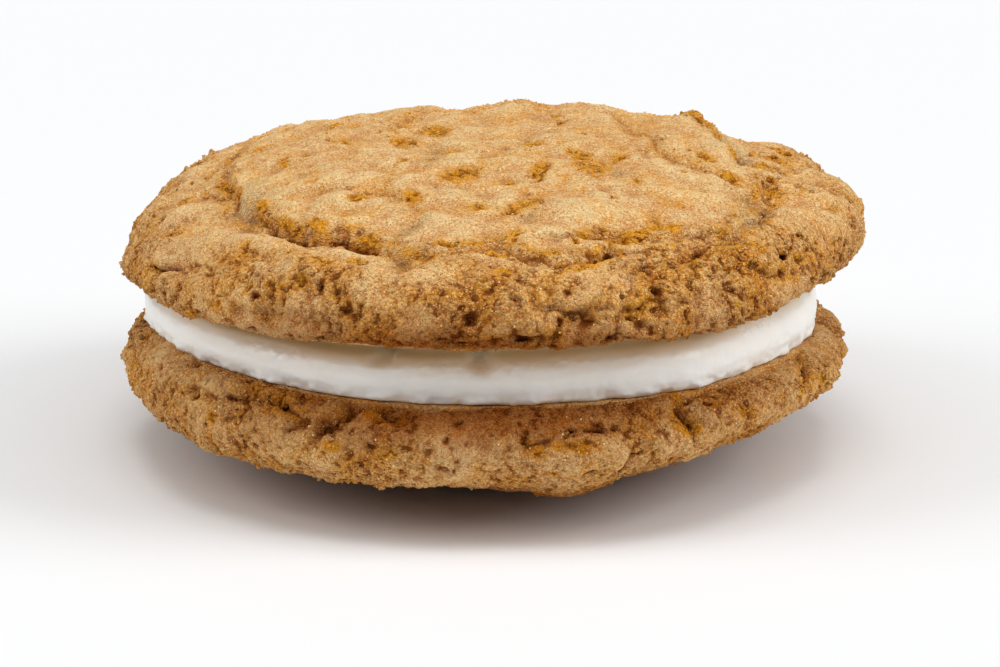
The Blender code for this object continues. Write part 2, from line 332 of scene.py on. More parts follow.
class Graph:
    """Adds nodes to a node tree, sets their values and links them."""

    def __init__(self, tree: bpy.types.NodeTree) -> None:
        """Args: tree, the node tree to add to."""
        self.tree = tree

    def add(self, kind: str, inputs: dict | None = None, **settings: object) -> bpy.types.Node:
        """Adds one node.

        Args:
            kind: Blender's name for the node.
            inputs: values or sockets for its inputs, by name or number.
            settings: the node's own settings.

        Returns:
            The new node.
        """
        node = self.tree.nodes.new(kind)
        for key, value in settings.items():
            setattr(node, key, value)
        for key, value in (inputs or {}).items():
            self.feed(node.inputs[key], value)
        return node

    def feed(self, socket: bpy.types.NodeSocket, value: object) -> None:
        """Args: socket, an input, and value, a number, colour, vector or the output to link to it."""
        if isinstance(value, bpy.types.NodeSocket):
            self.tree.links.new(value, socket)
        else:
            socket.default_value = value

    def math(self, operation: str, a: object, b: object = 0.0, c: object = 0.0) -> bpy.types.NodeSocket:
        """Args: operation, and its numbers or sockets. Returns: the result's socket."""
        return self.add("ShaderNodeMath", {0: a, 1: b, 2: c}, operation=operation).outputs[0]

    def times(self, a: object, b: object) -> bpy.types.NodeSocket:
        """Args: two numbers or sockets. Returns: the socket of their product."""
        return self.math("MULTIPLY", a, b)

    def plus(self, value: object, factor: object, base: object) -> bpy.types.NodeSocket:
        """Args: numbers or sockets. Returns: the socket of value times factor, plus base."""
        return self.math("MULTIPLY_ADD", value, factor, base)

    def change(
        self, value: object, low: float, high: float, to_low: float = 0.0, to_high: float = 1.0
    ) -> bpy.types.NodeSocket:
        """Args: value, the span low to high, and what that becomes. Returns: a smooth change's socket."""
        node = self.add("ShaderNodeMapRange", {0: value, 1: low, 2: high, 3: to_low, 4: to_high})
        node.interpolation_type = "SMOOTHSTEP"
        return node.outputs[0]

    def mix(self, share: object, a: object, b: object, blend: str = "MIX") -> bpy.types.NodeSocket:
        """Args: share of b, and colours a and b. Returns: the mixed colour's socket."""
        node = self.add("ShaderNodeMix", data_type="RGBA", blend_type=blend)
        for key, value in ((0, share), (6, a), (7, b)):
            self.feed(node.inputs[key], (*value, 1.0) if isinstance(value, tuple) else value)
        return node.outputs[2]

    def place_group(self, tree: bpy.types.NodeTree, given: dict) -> dict[str, bpy.types.NodeSocket]:
        """Args: a group's tree and its inputs by name. Returns: the placed group's outputs by name."""
        node = self.add("ShaderNodeGroup", node_tree=tree)
        for key, value in given.items():
            self.feed(node.inputs[key], value)
        return {socket.name: socket for socket in node.outputs}

    def ramp(self, value: object, *stops: tuple[float, Colour]) -> bpy.types.NodeSocket:
        """Args: value, and stops as (place, colour). Returns: the socket of the colour at that value."""
        node = self.add("ShaderNodeValToRGB", {0: value})
        places = node.color_ramp.elements
        while len(places) < len(stops):
            places.new(1.0)
        for element, (place, colour) in zip(places, stops):
            element.position = place
            element.color = (*colour, 1.0)
        return node.outputs[0]

    def mark(self, name: str) -> bpy.types.NodeSocket:
        """Args: name of a mesh's own values. Returns: their socket."""
        return self.add("ShaderNodeAttribute", attribute_name=name).outputs["Fac"]

    def object_place(self) -> bpy.types.NodeSocket:
        """Returns: the socket of the place on the object."""
        return self.add("ShaderNodeTexCoord").outputs["Object"]

    def noise(self, place: bpy.types.NodeSocket, scale: object, detail: float) -> bpy.types.NodeSocket:
        """Args: place, scale and detail. Returns: the socket of a random value from 0 to 1."""
        return self.add("ShaderNodeTexNoise", {"Vector": place, "Scale": scale, "Detail": detail}).outputs[0]

    def bump(self, shader: bpy.types.Node, height: object, distance: float, strength: float) -> None:
        """Args: shader that gets fine relief, its height, and how far that stands out."""
        node = self.add("ShaderNodeBump", {"Height": height, "Distance": distance, "Strength": strength})
        self.feed(shader.inputs["Normal"], node.outputs[0])


def new_material(name: str) -> tuple[bpy.types.Material, Graph, bpy.types.Node]:
    """Args: name. Returns: a new material, a graph of its nodes, and its Principled shader."""
    material = bpy.data.materials.new(name)
    material.use_nodes = True
    return material, Graph(material.node_tree), material.node_tree.nodes["Principled BSDF"]


def node_group(name: str, inputs: dict[str, float], outputs: dict[str, str]) -> tuple[Graph, dict, dict]:
    """Starts a shader node group.

    Args:
        name: the group's name.
        inputs: its number inputs with their usual values. An input named Place takes the coordinates.
        outputs: its outputs and their socket types.

    Returns:
        A graph of the group, its inputs' sockets and its outputs' sockets, by name.
    """
    tree = bpy.data.node_groups.new(name, "ShaderNodeTree")
    tree.interface.new_socket("Place", in_out="INPUT", socket_type="NodeSocketVector")
    for key, value in inputs.items():
        tree.interface.new_socket(key, in_out="INPUT", socket_type="NodeSocketFloat").default_value = value
    for key, kind in outputs.items():
        tree.interface.new_socket(key, in_out="OUTPUT", socket_type=kind)
    graph = Graph(tree)
    start = graph.add("NodeGroupInput")
    end = graph.add("NodeGroupOutput")
    return graph, {s.name: s for s in start.outputs}, {s.name: s for s in end.inputs}


def sandy_group() -> bpy.types.NodeTree:
    """Packed grains like coarse sand, each with a tone of its own.

    Returns:
        The group, with outputs Tone from 0 to 1, Bright and Dark masks, Gap between grains, and Height.
    """
    number = "NodeSocketFloat"
    graph, given, made = node_group(
        "sandy_grain",
        {"Grain": 0.0005, "Bright Share": 0.05, "Dark Share": 0.03},
        {"Tone": number, "Bright": number, "Dark": number, "Gap": number, "Height": number},
    )
    scale = graph.math("DIVIDE", 1.0, given["Grain"])
    grain = graph.add("ShaderNodeTexVoronoi", {"Vector": given["Place"], "Scale": scale})
    pick = graph.add("ShaderNodeSeparateColor", {0: grain.outputs["Color"]})
    heart = graph.change(grain.outputs["Distance"], 0.20, 0.75, 1.0, 0.0)
    lucky = graph.math("GREATER_THAN", pick.outputs[0], graph.math("SUBTRACT", 1.0, given["Bright Share"]))
    dull = graph.math("LESS_THAN", pick.outputs[1], given["Dark Share"])
    dust = graph.noise(given["Place"], graph.times(scale, 1.9), 2.0)
    graph.feed(made["Tone"], graph.plus(pick.outputs[2], 0.55, graph.times(dust, 0.45)))
    graph.feed(made["Bright"], graph.times(lucky, heart))
    graph.feed(made["Dark"], graph.times(dull, heart))
    graph.feed(made["Gap"], graph.change(grain.outputs["Distance"], 0.48, 0.85))
    graph.feed(made["Height"], graph.plus(dust, 0.6, heart))
    return graph.tree


def mottle_group() -> bpy.types.NodeTree:
    """Soft uneven patches.

    Returns:
        The group, with output Patch from 0 to 1: a smooth mask with ragged edges.
    """
    inputs = {"Patch Size": 0.006, "Amount": 0.5}
    graph, given, made = node_group("mottle", inputs, {"Patch": "NodeSocketFloat"})
    value = graph.noise(given["Place"], graph.math("DIVIDE", 1.0, given["Patch Size"]), 5.0)
    over = graph.math("SUBTRACT", value, graph.math("SUBTRACT", 1.0, given["Amount"]))
    graph.feed(made["Patch"], graph.change(over, -0.08, 0.10))
    return graph.tree


@dataclass(frozen=True)
class CrustFinish:
    """Baked, sandy crust: tan skin dusted with sugar, golden broken crumb, painted brown shade in cracks and
    painted light on ridges.
    """

    name: str
    skin: Colour = (0.755, 0.352, 0.122)
    skin_warm: Colour = (0.840, 0.372, 0.062)
    dusted: Colour = (0.995, 0.710, 0.345)
    torn: Colour = (0.920, 0.400, 0.018)
    crumb_dark: Colour = (0.330, 0.082, 0.008)
    crumb_orange: Colour = (0.650, 0.220, 0.016)
    crumb_gold: Colour = (0.920, 0.355, 0.028)
    crumb_pale: Colour = (0.985, 0.520, 0.110)
    # Colours of painted shade: one multiplied in towards the flat side, brown in gaps and cracks, near black
    # deep inside, and olive over hollows
    underside_shade: Colour = (0.450, 0.275, 0.160)
    shade_brown: Colour = (0.280, 0.075, 0.009)
    deep: Colour = (0.085, 0.020, 0.006)
    hollow_shade: Colour = (0.400, 0.250, 0.112)
    crystal: Colour = (0.990, 0.740, 0.360)
    speck: Colour = (0.110, 0.040, 0.014)
    # Width of a grain, and the shares of bright and of dark ones
    skin_grain: tuple[float, float, float] = (0.00020, 0.16, 0.07)
    crumb_grain: tuple[float, float, float] = (0.00042, 0.03, 0.05)
    # Size and amount of the patches of dust, of the warm blush and of the bare flecks
    patches: tuple[float, float] = (0.0065, 0.50)
    blushes: tuple[float, float] = (0.0042, 0.48)
    flecks: tuple[float, float] = (0.0016, 0.42)
    relief: float = 0.00014
    roughness: float = 0.78
    gloss: float = 0.04

    def build(self, sandy: bpy.types.NodeTree, mottle: bpy.types.NodeTree) -> bpy.types.Material:
        """Makes the material.

        Args:
            sandy: the group that gives the grains.
            mottle: the group that gives patches.

        Returns:
            The new material.
        """
        material, graph, shader = new_material(self.name)
        place = graph.object_place()
        shares = ("Grain", "Bright Share", "Dark Share")
        fine, coarse = (
            graph.place_group(sandy, {"Place": place, **dict(zip(shares, grain))})
            for grain in (self.skin_grain, self.crumb_grain)
        )
        patch, blush, flecks = (
            graph.place_group(mottle, {"Place": place, "Patch Size": size, "Amount": amount})["Patch"]
            for size, amount in (self.patches, self.blushes, self.flecks)
        )
        names = ("crevice", "crumb", "hollow_shade", "gold", "ridge", "hollow", "under")
        crevice, crumb, hollow_shade, gold, ridge, hollow, under = (graph.mark(name) for name in names)

        # The skin's sugar dust, thicker in patches, with painted light on raised places and painted shade in
        # hollows
        dust_and_shading = graph.plus(patch, 0.14, fine["Tone"])
        dust_and_shading = graph.plus(ridge, 0.07, dust_and_shading)
        dust_and_shading = graph.plus(hollow, -0.20, dust_and_shading)
        ground = graph.mix(graph.times(blush, 0.8), self.skin, self.skin_warm)
        skin = graph.mix(graph.change(dust_and_shading, 0.36, 0.86), ground, self.dusted)
        # The broken crumb, with painted light and shade: paler on its ridges, darker in the dips between them
        level = graph.plus(fine["Tone"], 0.38, graph.times(coarse["Tone"], 0.62))
        level = graph.plus(ridge, 0.16, level)
        level = graph.plus(blush, 0.12, level)
        broken = graph.ramp(
            level,
            (0.18, self.crumb_dark),
            (0.42, self.crumb_orange),
            (0.68, self.crumb_gold),
            (0.97, self.crumb_pale),
        )
        bare = graph.math("MAXIMUM", graph.times(crumb, graph.plus(patch, 0.40, 0.50)), gold)
        bare = graph.math("MAXIMUM", bare, graph.times(graph.times(blush, flecks), 0.75))
        colour = graph.mix(bare, skin, broken)
        # Freshly torn gold, and painted shade over hollows, which the gold is free of
        fresh = graph.times(gold, graph.change(coarse["Tone"], 0.1, 0.8, 1.0, 0.55))
        colour = graph.mix(fresh, colour, self.torn)
        shaded = graph.plus(graph.change(hollow, 0.15, 1.0), 0.45, hollow_shade)
        shaded = graph.math("MINIMUM", graph.times(shaded, graph.math("SUBTRACT", 1.0, gold)), 1.0)
        hollow_shading = graph.times(shaded, graph.change(fine["Tone"], 0.2, 0.8, 0.85, 0.3))
        colour = graph.mix(hollow_shading, colour, self.hollow_shade)
        # Painted shade in brown between the lumps of the crumb, in its gaps and in cracks, darkest deep
        # inside
        shady = graph.times(graph.change(ridge, -1.0, -0.1, 0.80, 0.0), crumb)
        colour = graph.mix(shady, colour, self.shade_brown)
        colour = graph.mix(graph.change(crevice, 0.10, 0.75), colour, self.shade_brown)
        colour = graph.mix(graph.change(crevice, 0.70, 1.0), colour, self.deep)
        between = graph.times(coarse["Gap"], graph.plus(crumb, 0.50, 0.10))
        between = graph.times(between, graph.plus(gold, -0.6, 1.0))
        colour = graph.mix(between, colour, self.shade_brown)
        # Bright and dark grains, the bright ones fading where cracks are painted dark, and painted shade
        # multiplied in towards the flat side and over the lower cookie's crown
        lit = graph.change(crevice, 0.05, 0.5, 0.75, 0.0)
        colour = graph.mix(graph.times(fine["Bright"], lit), colour, self.crystal)
        colour = graph.mix(graph.times(fine["Dark"], 0.6), colour, self.speck)
        colour = graph.mix(under, colour, self.underside_shade, "MULTIPLY")
        graph.feed(shader.inputs["Base Color"], colour)
        graph.feed(shader.inputs["Roughness"], graph.plus(fine["Bright"], -0.12, self.roughness))
        height = graph.times(coarse["Height"], graph.plus(crumb, 1.6, 0.4))
        graph.bump(shader, graph.plus(fine["Height"], 0.9, height), self.relief, 1.0)
        shader.inputs["Specular IOR Level"].default_value = self.gloss
        return material


@dataclass(frozen=True)
class CreamFinish:
    """Whipped cream filling: off-white, softly glossy, with light passing into it."""

    name: str = "cream"
    colour: Colour = (0.965, 0.965, 0.900)
    shade: Colour = (0.560, 0.490, 0.280)
    roughness: float = 0.42
    relief: float = 0.00008
    # Light that passes into it: its share, its reach in red, green and blue, and the scale of that reach
    light_inside: float = 0.35
    light_reach: Colour = (1.0, 0.9, 0.65)
    light_scale: float = 0.0018
    coat: float = 0.12
    coat_roughness: float = 0.18

    def build(self, sandy: bpy.types.NodeTree, mottle: bpy.types.NodeTree) -> bpy.types.Material:
        """Makes the material.

        Args:
            sandy: the group that gives fine grain.
            mottle: the group that gives patches.

        Returns:
            The new material.
        """
        material, graph, shader = new_material(self.name)
        place = graph.object_place()
        fine = graph.noise(place, 1400.0, 3.0)
        soft = graph.place_group(mottle, {"Place": place, "Patch Size": 0.004, "Amount": 0.5})["Patch"]
        sand = graph.place_group(sandy, {"Place": place, "Grain": 0.0007})
        wet = graph.mark("wet")
        graph.feed(shader.inputs["Base Color"], graph.mix(graph.mark("recess"), self.colour, self.shade))
        rough = graph.plus(wet, -0.22, self.roughness)
        graph.feed(shader.inputs["Roughness"], graph.plus(soft, 0.08, rough))
        graph.bump(shader, graph.plus(sand["Height"], 0.35, fine), self.relief, 0.5)
        graph.feed(shader.inputs["Coat Weight"], graph.plus(wet, 0.6, self.coat))
        for key, value in (
            ("Subsurface Weight", self.light_inside),
            ("Subsurface Radius", self.light_reach),
            ("Subsurface Scale", self.light_scale),
            ("Coat Roughness", self.coat_roughness),
        ):
            shader.inputs[key].default_value = value
        return material


@dataclass(frozen=True)
class GrainFinish:
    """Loose grains whose colour runs from one tone to another, from grain to grain."""

    name: str
    pale: Colour
    dark: Colour
    roughness: float
    gloss: float = 0.06
    relief: float = 0.00005
    mottling: float = 3000.0

    def build(self) -> bpy.types.Material:
        """Returns: the new material."""
        material, graph, shader = new_material(self.name)
        fine = graph.noise(graph.object_place(), self.mottling, 2.0)
        share = graph.plus(fine, 0.3, graph.times(graph.mark("tint"), 0.7))
        graph.feed(shader.inputs["Base Color"], graph.mix(share, self.dark, self.pale))
        graph.feed(shader.inputs["Roughness"], graph.plus(fine, 0.2, self.roughness))
        graph.bump(shader, fine, self.relief, 0.6)
        shader.inputs["Specular IOR Level"].default_value = self.gloss
        return material


@dataclass(frozen=True)
class Lobe:
    """A stretch of edge, centred on angle and fading over spread degrees, that stands out by size."""

    angle: float
    spread: float
    size: float


@dataclass(frozen=True)
class Swell:
    """A wide stretch of crust at (angle, reach) that goes outwards by out and up by up.

    It fades over spread degrees to each side, and over fade metres along the reach.
    """

    angle: float
    reach: float
    spread: float
    fade: float
    out: float
    up: float


@dataclass(frozen=True)
class Crack:
    """A groove through points given as (angle, reach). rise lifts the crust to the left of it."""

    path: tuple[tuple[float, float], ...]
    width: float
    depth: float
    rise: float = 0.0


@dataclass(frozen=True)
class Lump:
    """A round swelling of the crust at (angle, reach), or a pit where its height is negative."""

    at: tuple[float, float]
    radius: float
    height: float


@dataclass(frozen=True)
class Gouge:
    """A torn or hollow place in the crust at (angle, reach), or a raised one where its depth is negative.

    long and wide are its half sizes. Its long way is turned by turn degrees from the way round to the
    way out. Everything but the angles is in millimetres.
    """

    angle: float
    reach: float
    long: float
    wide: float
    turn: float
    depth: float
    tone: Tone


def gouges(tone: Tone, *rows: tuple[float, ...]) -> list[Gouge]:
    """Args: tone, and each gouge's other values in their order. Returns: the gouges."""
    return [Gouge(*row, tone) for row in rows]


@dataclass(frozen=True)
class Crumbling:
    """How broken a cookie's crust is: where, how coarse, and how many small fissures and pits it has.

    Pairs of a size are its least and its greatest value.
    """

    rim_from: float
    rim_full: float
    seed: int
    fissures: int = 70
    fissure_long: tuple[float, float] = (0.0015, 0.0045)
    fissure_wide: tuple[float, float] = (0.00022, 0.00042)
    fissure_deep: tuple[float, float] = (0.0004, 0.0010)
    # The share of fissures that run down the rim, and how much their heading varies, in radians
    fissures_down: float = 0.35
    fissure_heading: float = 0.6
    fissure_bend: float = 0.5
    pits: int = 520
    # Widths of a pit, and its depth as a share of that, on the rim and on the crown
    rim_pit: tuple[float, float] = (0.00020, 0.00050)
    rim_pit_deep: tuple[float, float] = (0.8, 1.7)
    crown_pit: tuple[float, float] = (0.00015, 0.00030)
    crown_pit_deep: tuple[float, float] = (0.3, 0.8)
    tears: int = 90
    # A tear's half length and depth in millimetres, its width as a share of its length, and its turn
    tear_long: tuple[float, float] = (0.5, 1.5)
    tear_wide: tuple[float, float] = (0.3, 0.7)
    tear_deep: tuple[float, float] = (0.08, 0.3)
    tear_turn: float = 45.0
    clod: float = 0.0024
    clod_height: float = 0.00045
    grain: float = 0.00095
    grain_height: float = 0.00014
    # How far a point of the average grain is from its middle
    grain_mean: float = 0.42
    crown_dent: float = 0.0011
    # Reach from which shade is painted in, darkening the crust towards the flat side
    underside_shade_from: float = 0.0450


@dataclass
class Wear:
    """What has happened to each point of a crust, from 0 to 1. But sunk, small and holes are depths."""

    crust: np.ndarray
    patch: np.ndarray
    gaping: np.ndarray
    sunk: np.ndarray
    small: np.ndarray
    brink: np.ndarray
    tones: dict[Tone, np.ndarray]
    crumb: np.ndarray
    holes: np.ndarray


@dataclass
class Cookie:
    """One cookie. cut lists radius and height over the flat side, from the crown to the flat side.

    flat is the height of its flat side over the surface, and lean how far that side rises to +X, in degrees.
    """

    name: str
    facing: Facing
    cut: tuple[tuple[float, float], ...]
    centre: tuple[float, float]
    flat: float
    lean: float
    swells: tuple[Swell, ...]
    cracks: tuple[Crack, ...]
    lumps: tuple[Lump, ...]
    seed: float
    crumbling: Crumbling
    gouges: tuple[Gouge, ...] = ()
    parts: int = 150
    sectors: int = 3
    # How densely points lie on the crown, the rim and the flat side
    crown_share: float = 0.8
    rim_share: float = 1.3
    flat_share: float = 0.12
    # How darkly shade is painted over the crown's middle, and the reach over which that fades
    crown_shade: float = 0.0
    crown_fade: tuple[float, float] = (0.034, 0.042)
    # Within this radius the flat side is plain in the looks, too, as the cream covers it
    covered: float = PLAIN_RADIUS
    bed: bpy.types.Object | None = field(default=None, repr=False)

    def whole_cut(self) -> tuple[np.ndarray, np.ndarray, np.ndarray]:
        """Returns: radius, height and reach of the points of the plain cut."""
        curve = smooth_curve(self.cut, CUT_SAMPLES)
        reach = np.concatenate([[0.0], np.cumsum(np.linalg.norm(np.diff(curve, axis=0), axis=1))])
        return curve[:, 0], curve[:, 1], reach

    def plain_from(self) -> tuple[float, float]:
        """Returns: the reach at which the flat side begins to be plain, and that of its middle."""
        along = self.whole_cut()[2]
        return along[-1] - PLAIN_RADIUS, along[-1]

    def spread(self, sphere: np.ndarray) -> tuple[np.ndarray, np.ndarray]:
        """Lays a sphere's points over the crust, evenly where they are wanted.

        Args:
            sphere: points of a unit sphere.

        Returns:
            The angle and reach of each.
        """
        radius, _, along = self.whole_cut()
        edge, _ = self.plain_from()
        on_rim = smoothstep(-0.003, 0.003, along[1:] - self.crumbling.rim_from)
        share = self.crown_share + (self.rim_share - self.crown_share) * on_rim
        share = share + (self.flat_share - share) * smoothstep(0.004, 0.014, along[1:] - edge)
        area = np.concatenate([[0.0], np.cumsum(share * np.diff(along) * (radius[1:] + radius[:-1]) / 2.0)])
        covered = (1.0 - np.clip(sphere[:, 2], -1.0, 1.0)) / 2.0
        return np.degrees(np.arctan2(sphere[:, 1], sphere[:, 0])), np.interp(covered, area / area[-1], along)

    def swelling(self, angle: np.ndarray, reach: np.ndarray) -> tuple[np.ndarray, np.ndarray]:
        """Args: angle and reach of points. Returns: how far the swells push each outwards and up."""
        out = np.zeros(np.shape(reach))
        up = np.zeros(np.shape(reach))
        for swell in self.swells:
            share = bell(way_round(angle, swell.angle) / swell.spread, (reach - swell.reach) / swell.fade)
            out += swell.out * share
            up += swell.up * share
        return out, up

    def place(self, angle: np.ndarray, reach: np.ndarray) -> np.ndarray:
        """Args: angle and reach of points. Returns: where they lie on the smooth cookie."""
        radius, height, along = self.whole_cut()
        edge, middle = self.plain_from()
        out, up = self.swelling(angle, reach)
        radius, height = np.interp(reach, along, radius), np.interp(reach, along, height)
        radius = radius + out * smoothstep(0.0, 0.010, radius) * smoothstep(0.0, 0.010, middle - reach)
        turn = np.radians(angle)
        x = self.centre[0] + radius * np.cos(turn)
        y = self.centre[1] + radius * np.sin(turn)
        z = self.flat + int(self.facing) * height + up * (1.0 - smoothstep(edge - 0.004, edge, reach))
        return np.stack([x, y, z + math.tan(math.radians(self.lean)) * x], axis=-1)

    def spot(self, angle: float, reach: float) -> np.ndarray:
        """Args: angle and reach. Returns: that point on the smooth cookie."""
        return self.place(np.array([angle]), np.array([reach]))[0]

    def small_cracks(self) -> Iterator[Crack]:
        """Yields: short fissures at random places of the rim, the same ones each time."""
        rough = self.crumbling
        rule = np.random.default_rng(rough.seed)
        edge, _ = self.plain_from()
        for _ in range(rough.fissures):
            angle = rule.uniform(0.0, 360.0)
            reach = rule.uniform(rough.rim_from + 0.002, edge - 0.0005)
            heading = rule.normal(0.0, rough.fissure_heading)
            heading += math.pi / 2 if rule.random() < rough.fissures_down else 0.0
            length = rule.uniform(*rough.fissure_long)
            path = []
            for _ in range(4):
                path.append((angle, reach))
                heading += rule.normal(0.0, rough.fissure_bend)
                angle += math.degrees(math.cos(heading) * length / 3.0 / RIM_RADIUS)
                reach += math.sin(heading) * length / 3.0
            yield Crack(tuple(path), rule.uniform(*rough.fissure_wide), rule.uniform(*rough.fissure_deep))

    def pits(self) -> Iterator[Lump]:
        """Yields: small pits at random places, five of six on the rim, the same ones each time."""
        rough = self.crumbling
        rule = np.random.default_rng(rough.seed + 1)
        edge, _ = self.plain_from()
        for number in range(rough.pits):
            if number % 6 < 5:
                reach = rule.uniform(rough.rim_full, edge)
                sizes, depths = rough.rim_pit, rough.rim_pit_deep
            else:
                reach = rough.rim_from * math.sqrt(rule.uniform(0.02, 1.0))
                sizes, depths = rough.crown_pit, rough.crown_pit_deep
            size = rule.uniform(*sizes)
            depth = size * rule.uniform(*depths)
            yield Lump((rule.uniform(0.0, 360.0), reach), size, -depth)

    def tears(self) -> Iterator[Gouge]:
        """Yields: small torn places over the whole crust, the same ones each time."""
        rough = self.crumbling
        rule = np.random.default_rng(rough.seed + 2)
        edge, _ = self.plain_from()
        for _ in range(rough.tears):
            reach = edge / MM * math.sqrt(rule.uniform(0.03, 0.92))
            long = rule.uniform(*rough.tear_long)
            wide = long * rule.uniform(*rough.tear_wide)
            turn = rule.normal(0.0, rough.tear_turn)
            angle = rule.uniform(0.0, 360.0)
            yield Gouge(angle, reach, long, wide, turn, rule.uniform(*rough.tear_deep), Tone.GOLD)

    def grooves(
        self, points: np.ndarray, cracks: Sequence[Crack], gaping: np.ndarray
    ) -> tuple[np.ndarray, np.ndarray, np.ndarray]:
        """Works out cracks.

        Args:
            points: the smooth crust's points, already shifted about to make the lines ragged.
            cracks: the cracks.
            gaping: how open cracks are at each point, from 0 to 1.

        Returns:
            How far each point sinks, as a positive depth, how far it rises beside the cracks, and how close
            it lies to an edge, from 0 to 1.
        """
        sunk = np.zeros(len(points))
        raised = np.zeros(len(points))
        brink = np.zeros(len(points))
        for crack in cracks:
            stops = smooth_curve(crack.path, 4)
            line = self.place(stops[:, 0], stops[:, 1])
            margin = (12.0 if crack.rise else 4.0) * crack.width
            near = np.all((points > line.min(0) - margin) & (points < line.max(0) + margin), axis=1)
            if not near.any():
                continue
            gap, side = distance_to_path(points[near], line)
            wide = np.exp(-((gap / crack.width) ** 2))
            narrow = np.exp(-((gap / (0.35 * crack.width)) ** 2))
            open_share = gaping[near]
            sunk[near] += crack.depth * (0.62 * wide + 0.75 * narrow * open_share) * (0.6 + 0.4 * open_share)
            past = smoothstep(-0.4 * crack.width, 0.4 * crack.width, side * gap)
            raised[near] += crack.rise * past * np.exp(-gap / (4.0 * crack.width))
            strength = np.exp(-(((gap - 0.9 * crack.width) / (0.7 * crack.width)) ** 2))
            brink[near] = np.maximum(brink[near], strength * min(1.0, crack.depth / 0.0014))
        return sunk, raised, brink

    def bumps(self, points: np.ndarray, lumps: Sequence[Lump]) -> np.ndarray:
        """Args: points and lumps. Returns: the lumps' height at each point."""
        off = np.zeros(len(points))
        for lump in lumps:
            away = points - self.spot(*lump.at)
            near = np.abs(away).max(axis=1) < 3.0 * lump.radius
            gap = np.linalg.norm(away[near], axis=1)
            off[near] += lump.height * np.exp(-((gap / lump.radius) ** 2))
        return off

    def torn(self, points: np.ndarray, gouges: Sequence[Gouge]) -> tuple[np.ndarray, dict[Tone, np.ndarray]]:
        """Works out gouges.

        Args:
            points: the smooth crust's points, shifted about to make the edges ragged.
            gouges: the gouges.

        Returns:
            How far each point sinks, and how much of each tone it shows, from 0 to 1.
        """
        sunk = np.zeros(len(points))
        tones = {tone: np.zeros(len(points)) for tone in Tone}
        for gouge in gouges:
            at, round_way, out_way = self.ways(gouge.angle, gouge.reach * MM)
            away = points - at
            near = np.abs(away).max(axis=1) < 3.0 * gouge.long * MM
            turn = math.radians(gouge.turn)
            length = math.cos(turn) * round_way + math.sin(turn) * out_way
            width = math.cos(turn) * out_way - math.sin(turn) * round_way
            off = ((away[near] @ length) / (gouge.long * MM)) ** 2
            off += ((away[near] @ width) / (gouge.wide * MM)) ** 2
            share = np.exp(-(0.7 * off ** (1.5 if gouge.tone is Tone.GOLD else 1.0)))
            sunk[near] += gouge.depth * MM * share
            tones[gouge.tone][near] = np.maximum(tones[gouge.tone][near], share)
        return sunk, tones

    def ways(self, angle: float, reach: float) -> tuple[np.ndarray, np.ndarray, np.ndarray]:
        """Args: angle and reach. Returns: that point, and unit directions round the cookie and outwards."""
        at = self.spot(angle, reach)
        round_way = self.spot(angle + 0.5, reach) - self.spot(angle - 0.5, reach)
        out_way = self.spot(angle, reach + 0.0003) - self.spot(angle, reach - 0.0003)
        return at, round_way / np.linalg.norm(round_way), out_way / np.linalg.norm(out_way)

    def form(self, smooth: np.ndarray) -> np.ndarray:
        """Args: points of the smooth cookie. Returns: the height of the cookie's broad waves and lumps."""
        broad = 0.0003 * waves(smooth, 0.016, 2, self.seed)
        middle = 0.0007 * billows(smooth, 0.0085, 1, self.seed + 7.0)
        middle += 0.0004 * waves(smooth, 0.0070, 1, self.seed + 8.0)
        return broad + middle + self.bumps(smooth, self.lumps)

    def build(self, finish: bpy.types.Material) -> list[bpy.types.Object]:
        """Makes the cookie's mesh and dresses it.

        Args:
            finish: its crust's material.

        Returns:
            The cookie's pieces: sectors that meet point by point.
        """
        sphere, triangles = geodesic_sphere(self.parts)
        if self.facing is Facing.DOWN:
            triangles = triangles[:, ::-1]
        angle, reach = self.spread(sphere)
        _, middle = self.plain_from()
        crust = 1.0 - smoothstep(middle - self.covered - 0.002, middle - self.covered, reach)
        smooth = self.place(angle, reach)
        normal = point_normals(smooth, triangles)
        points = smooth + normal * (self.form(smooth) * crust)[:, None]

        ragged = shaken(smooth, (0.0009, 0.0040, self.seed), (0.0005, 0.0014, self.seed))
        frayed = shaken(smooth, (0.00050, 0.0013, self.seed + 3.0), (0.00022, 0.0005, self.seed + 4.0))
        wear, drop = self.damage(smooth, ragged, frayed, reach, crust)
        points = points + normal * (drop * crust)[:, None]

        normal = point_normals(points, triangles)
        points = points + normal * (self.relief(smooth, frayed, wear) * crust)[:, None]
        points[:, 2] = np.maximum(points[:, 2], 0.0)

        normal = point_normals(points, triangles)
        marks = self.marks(points, triangles, normal, angle, reach, smooth, wear)
        self.bed = mesh_object(self.name + "_bed", points, triangles, marks)
        LOG.info("%s: %d triangles", self.name, len(triangles))
        return list(self.split(points, triangles, normal, marks, finish))

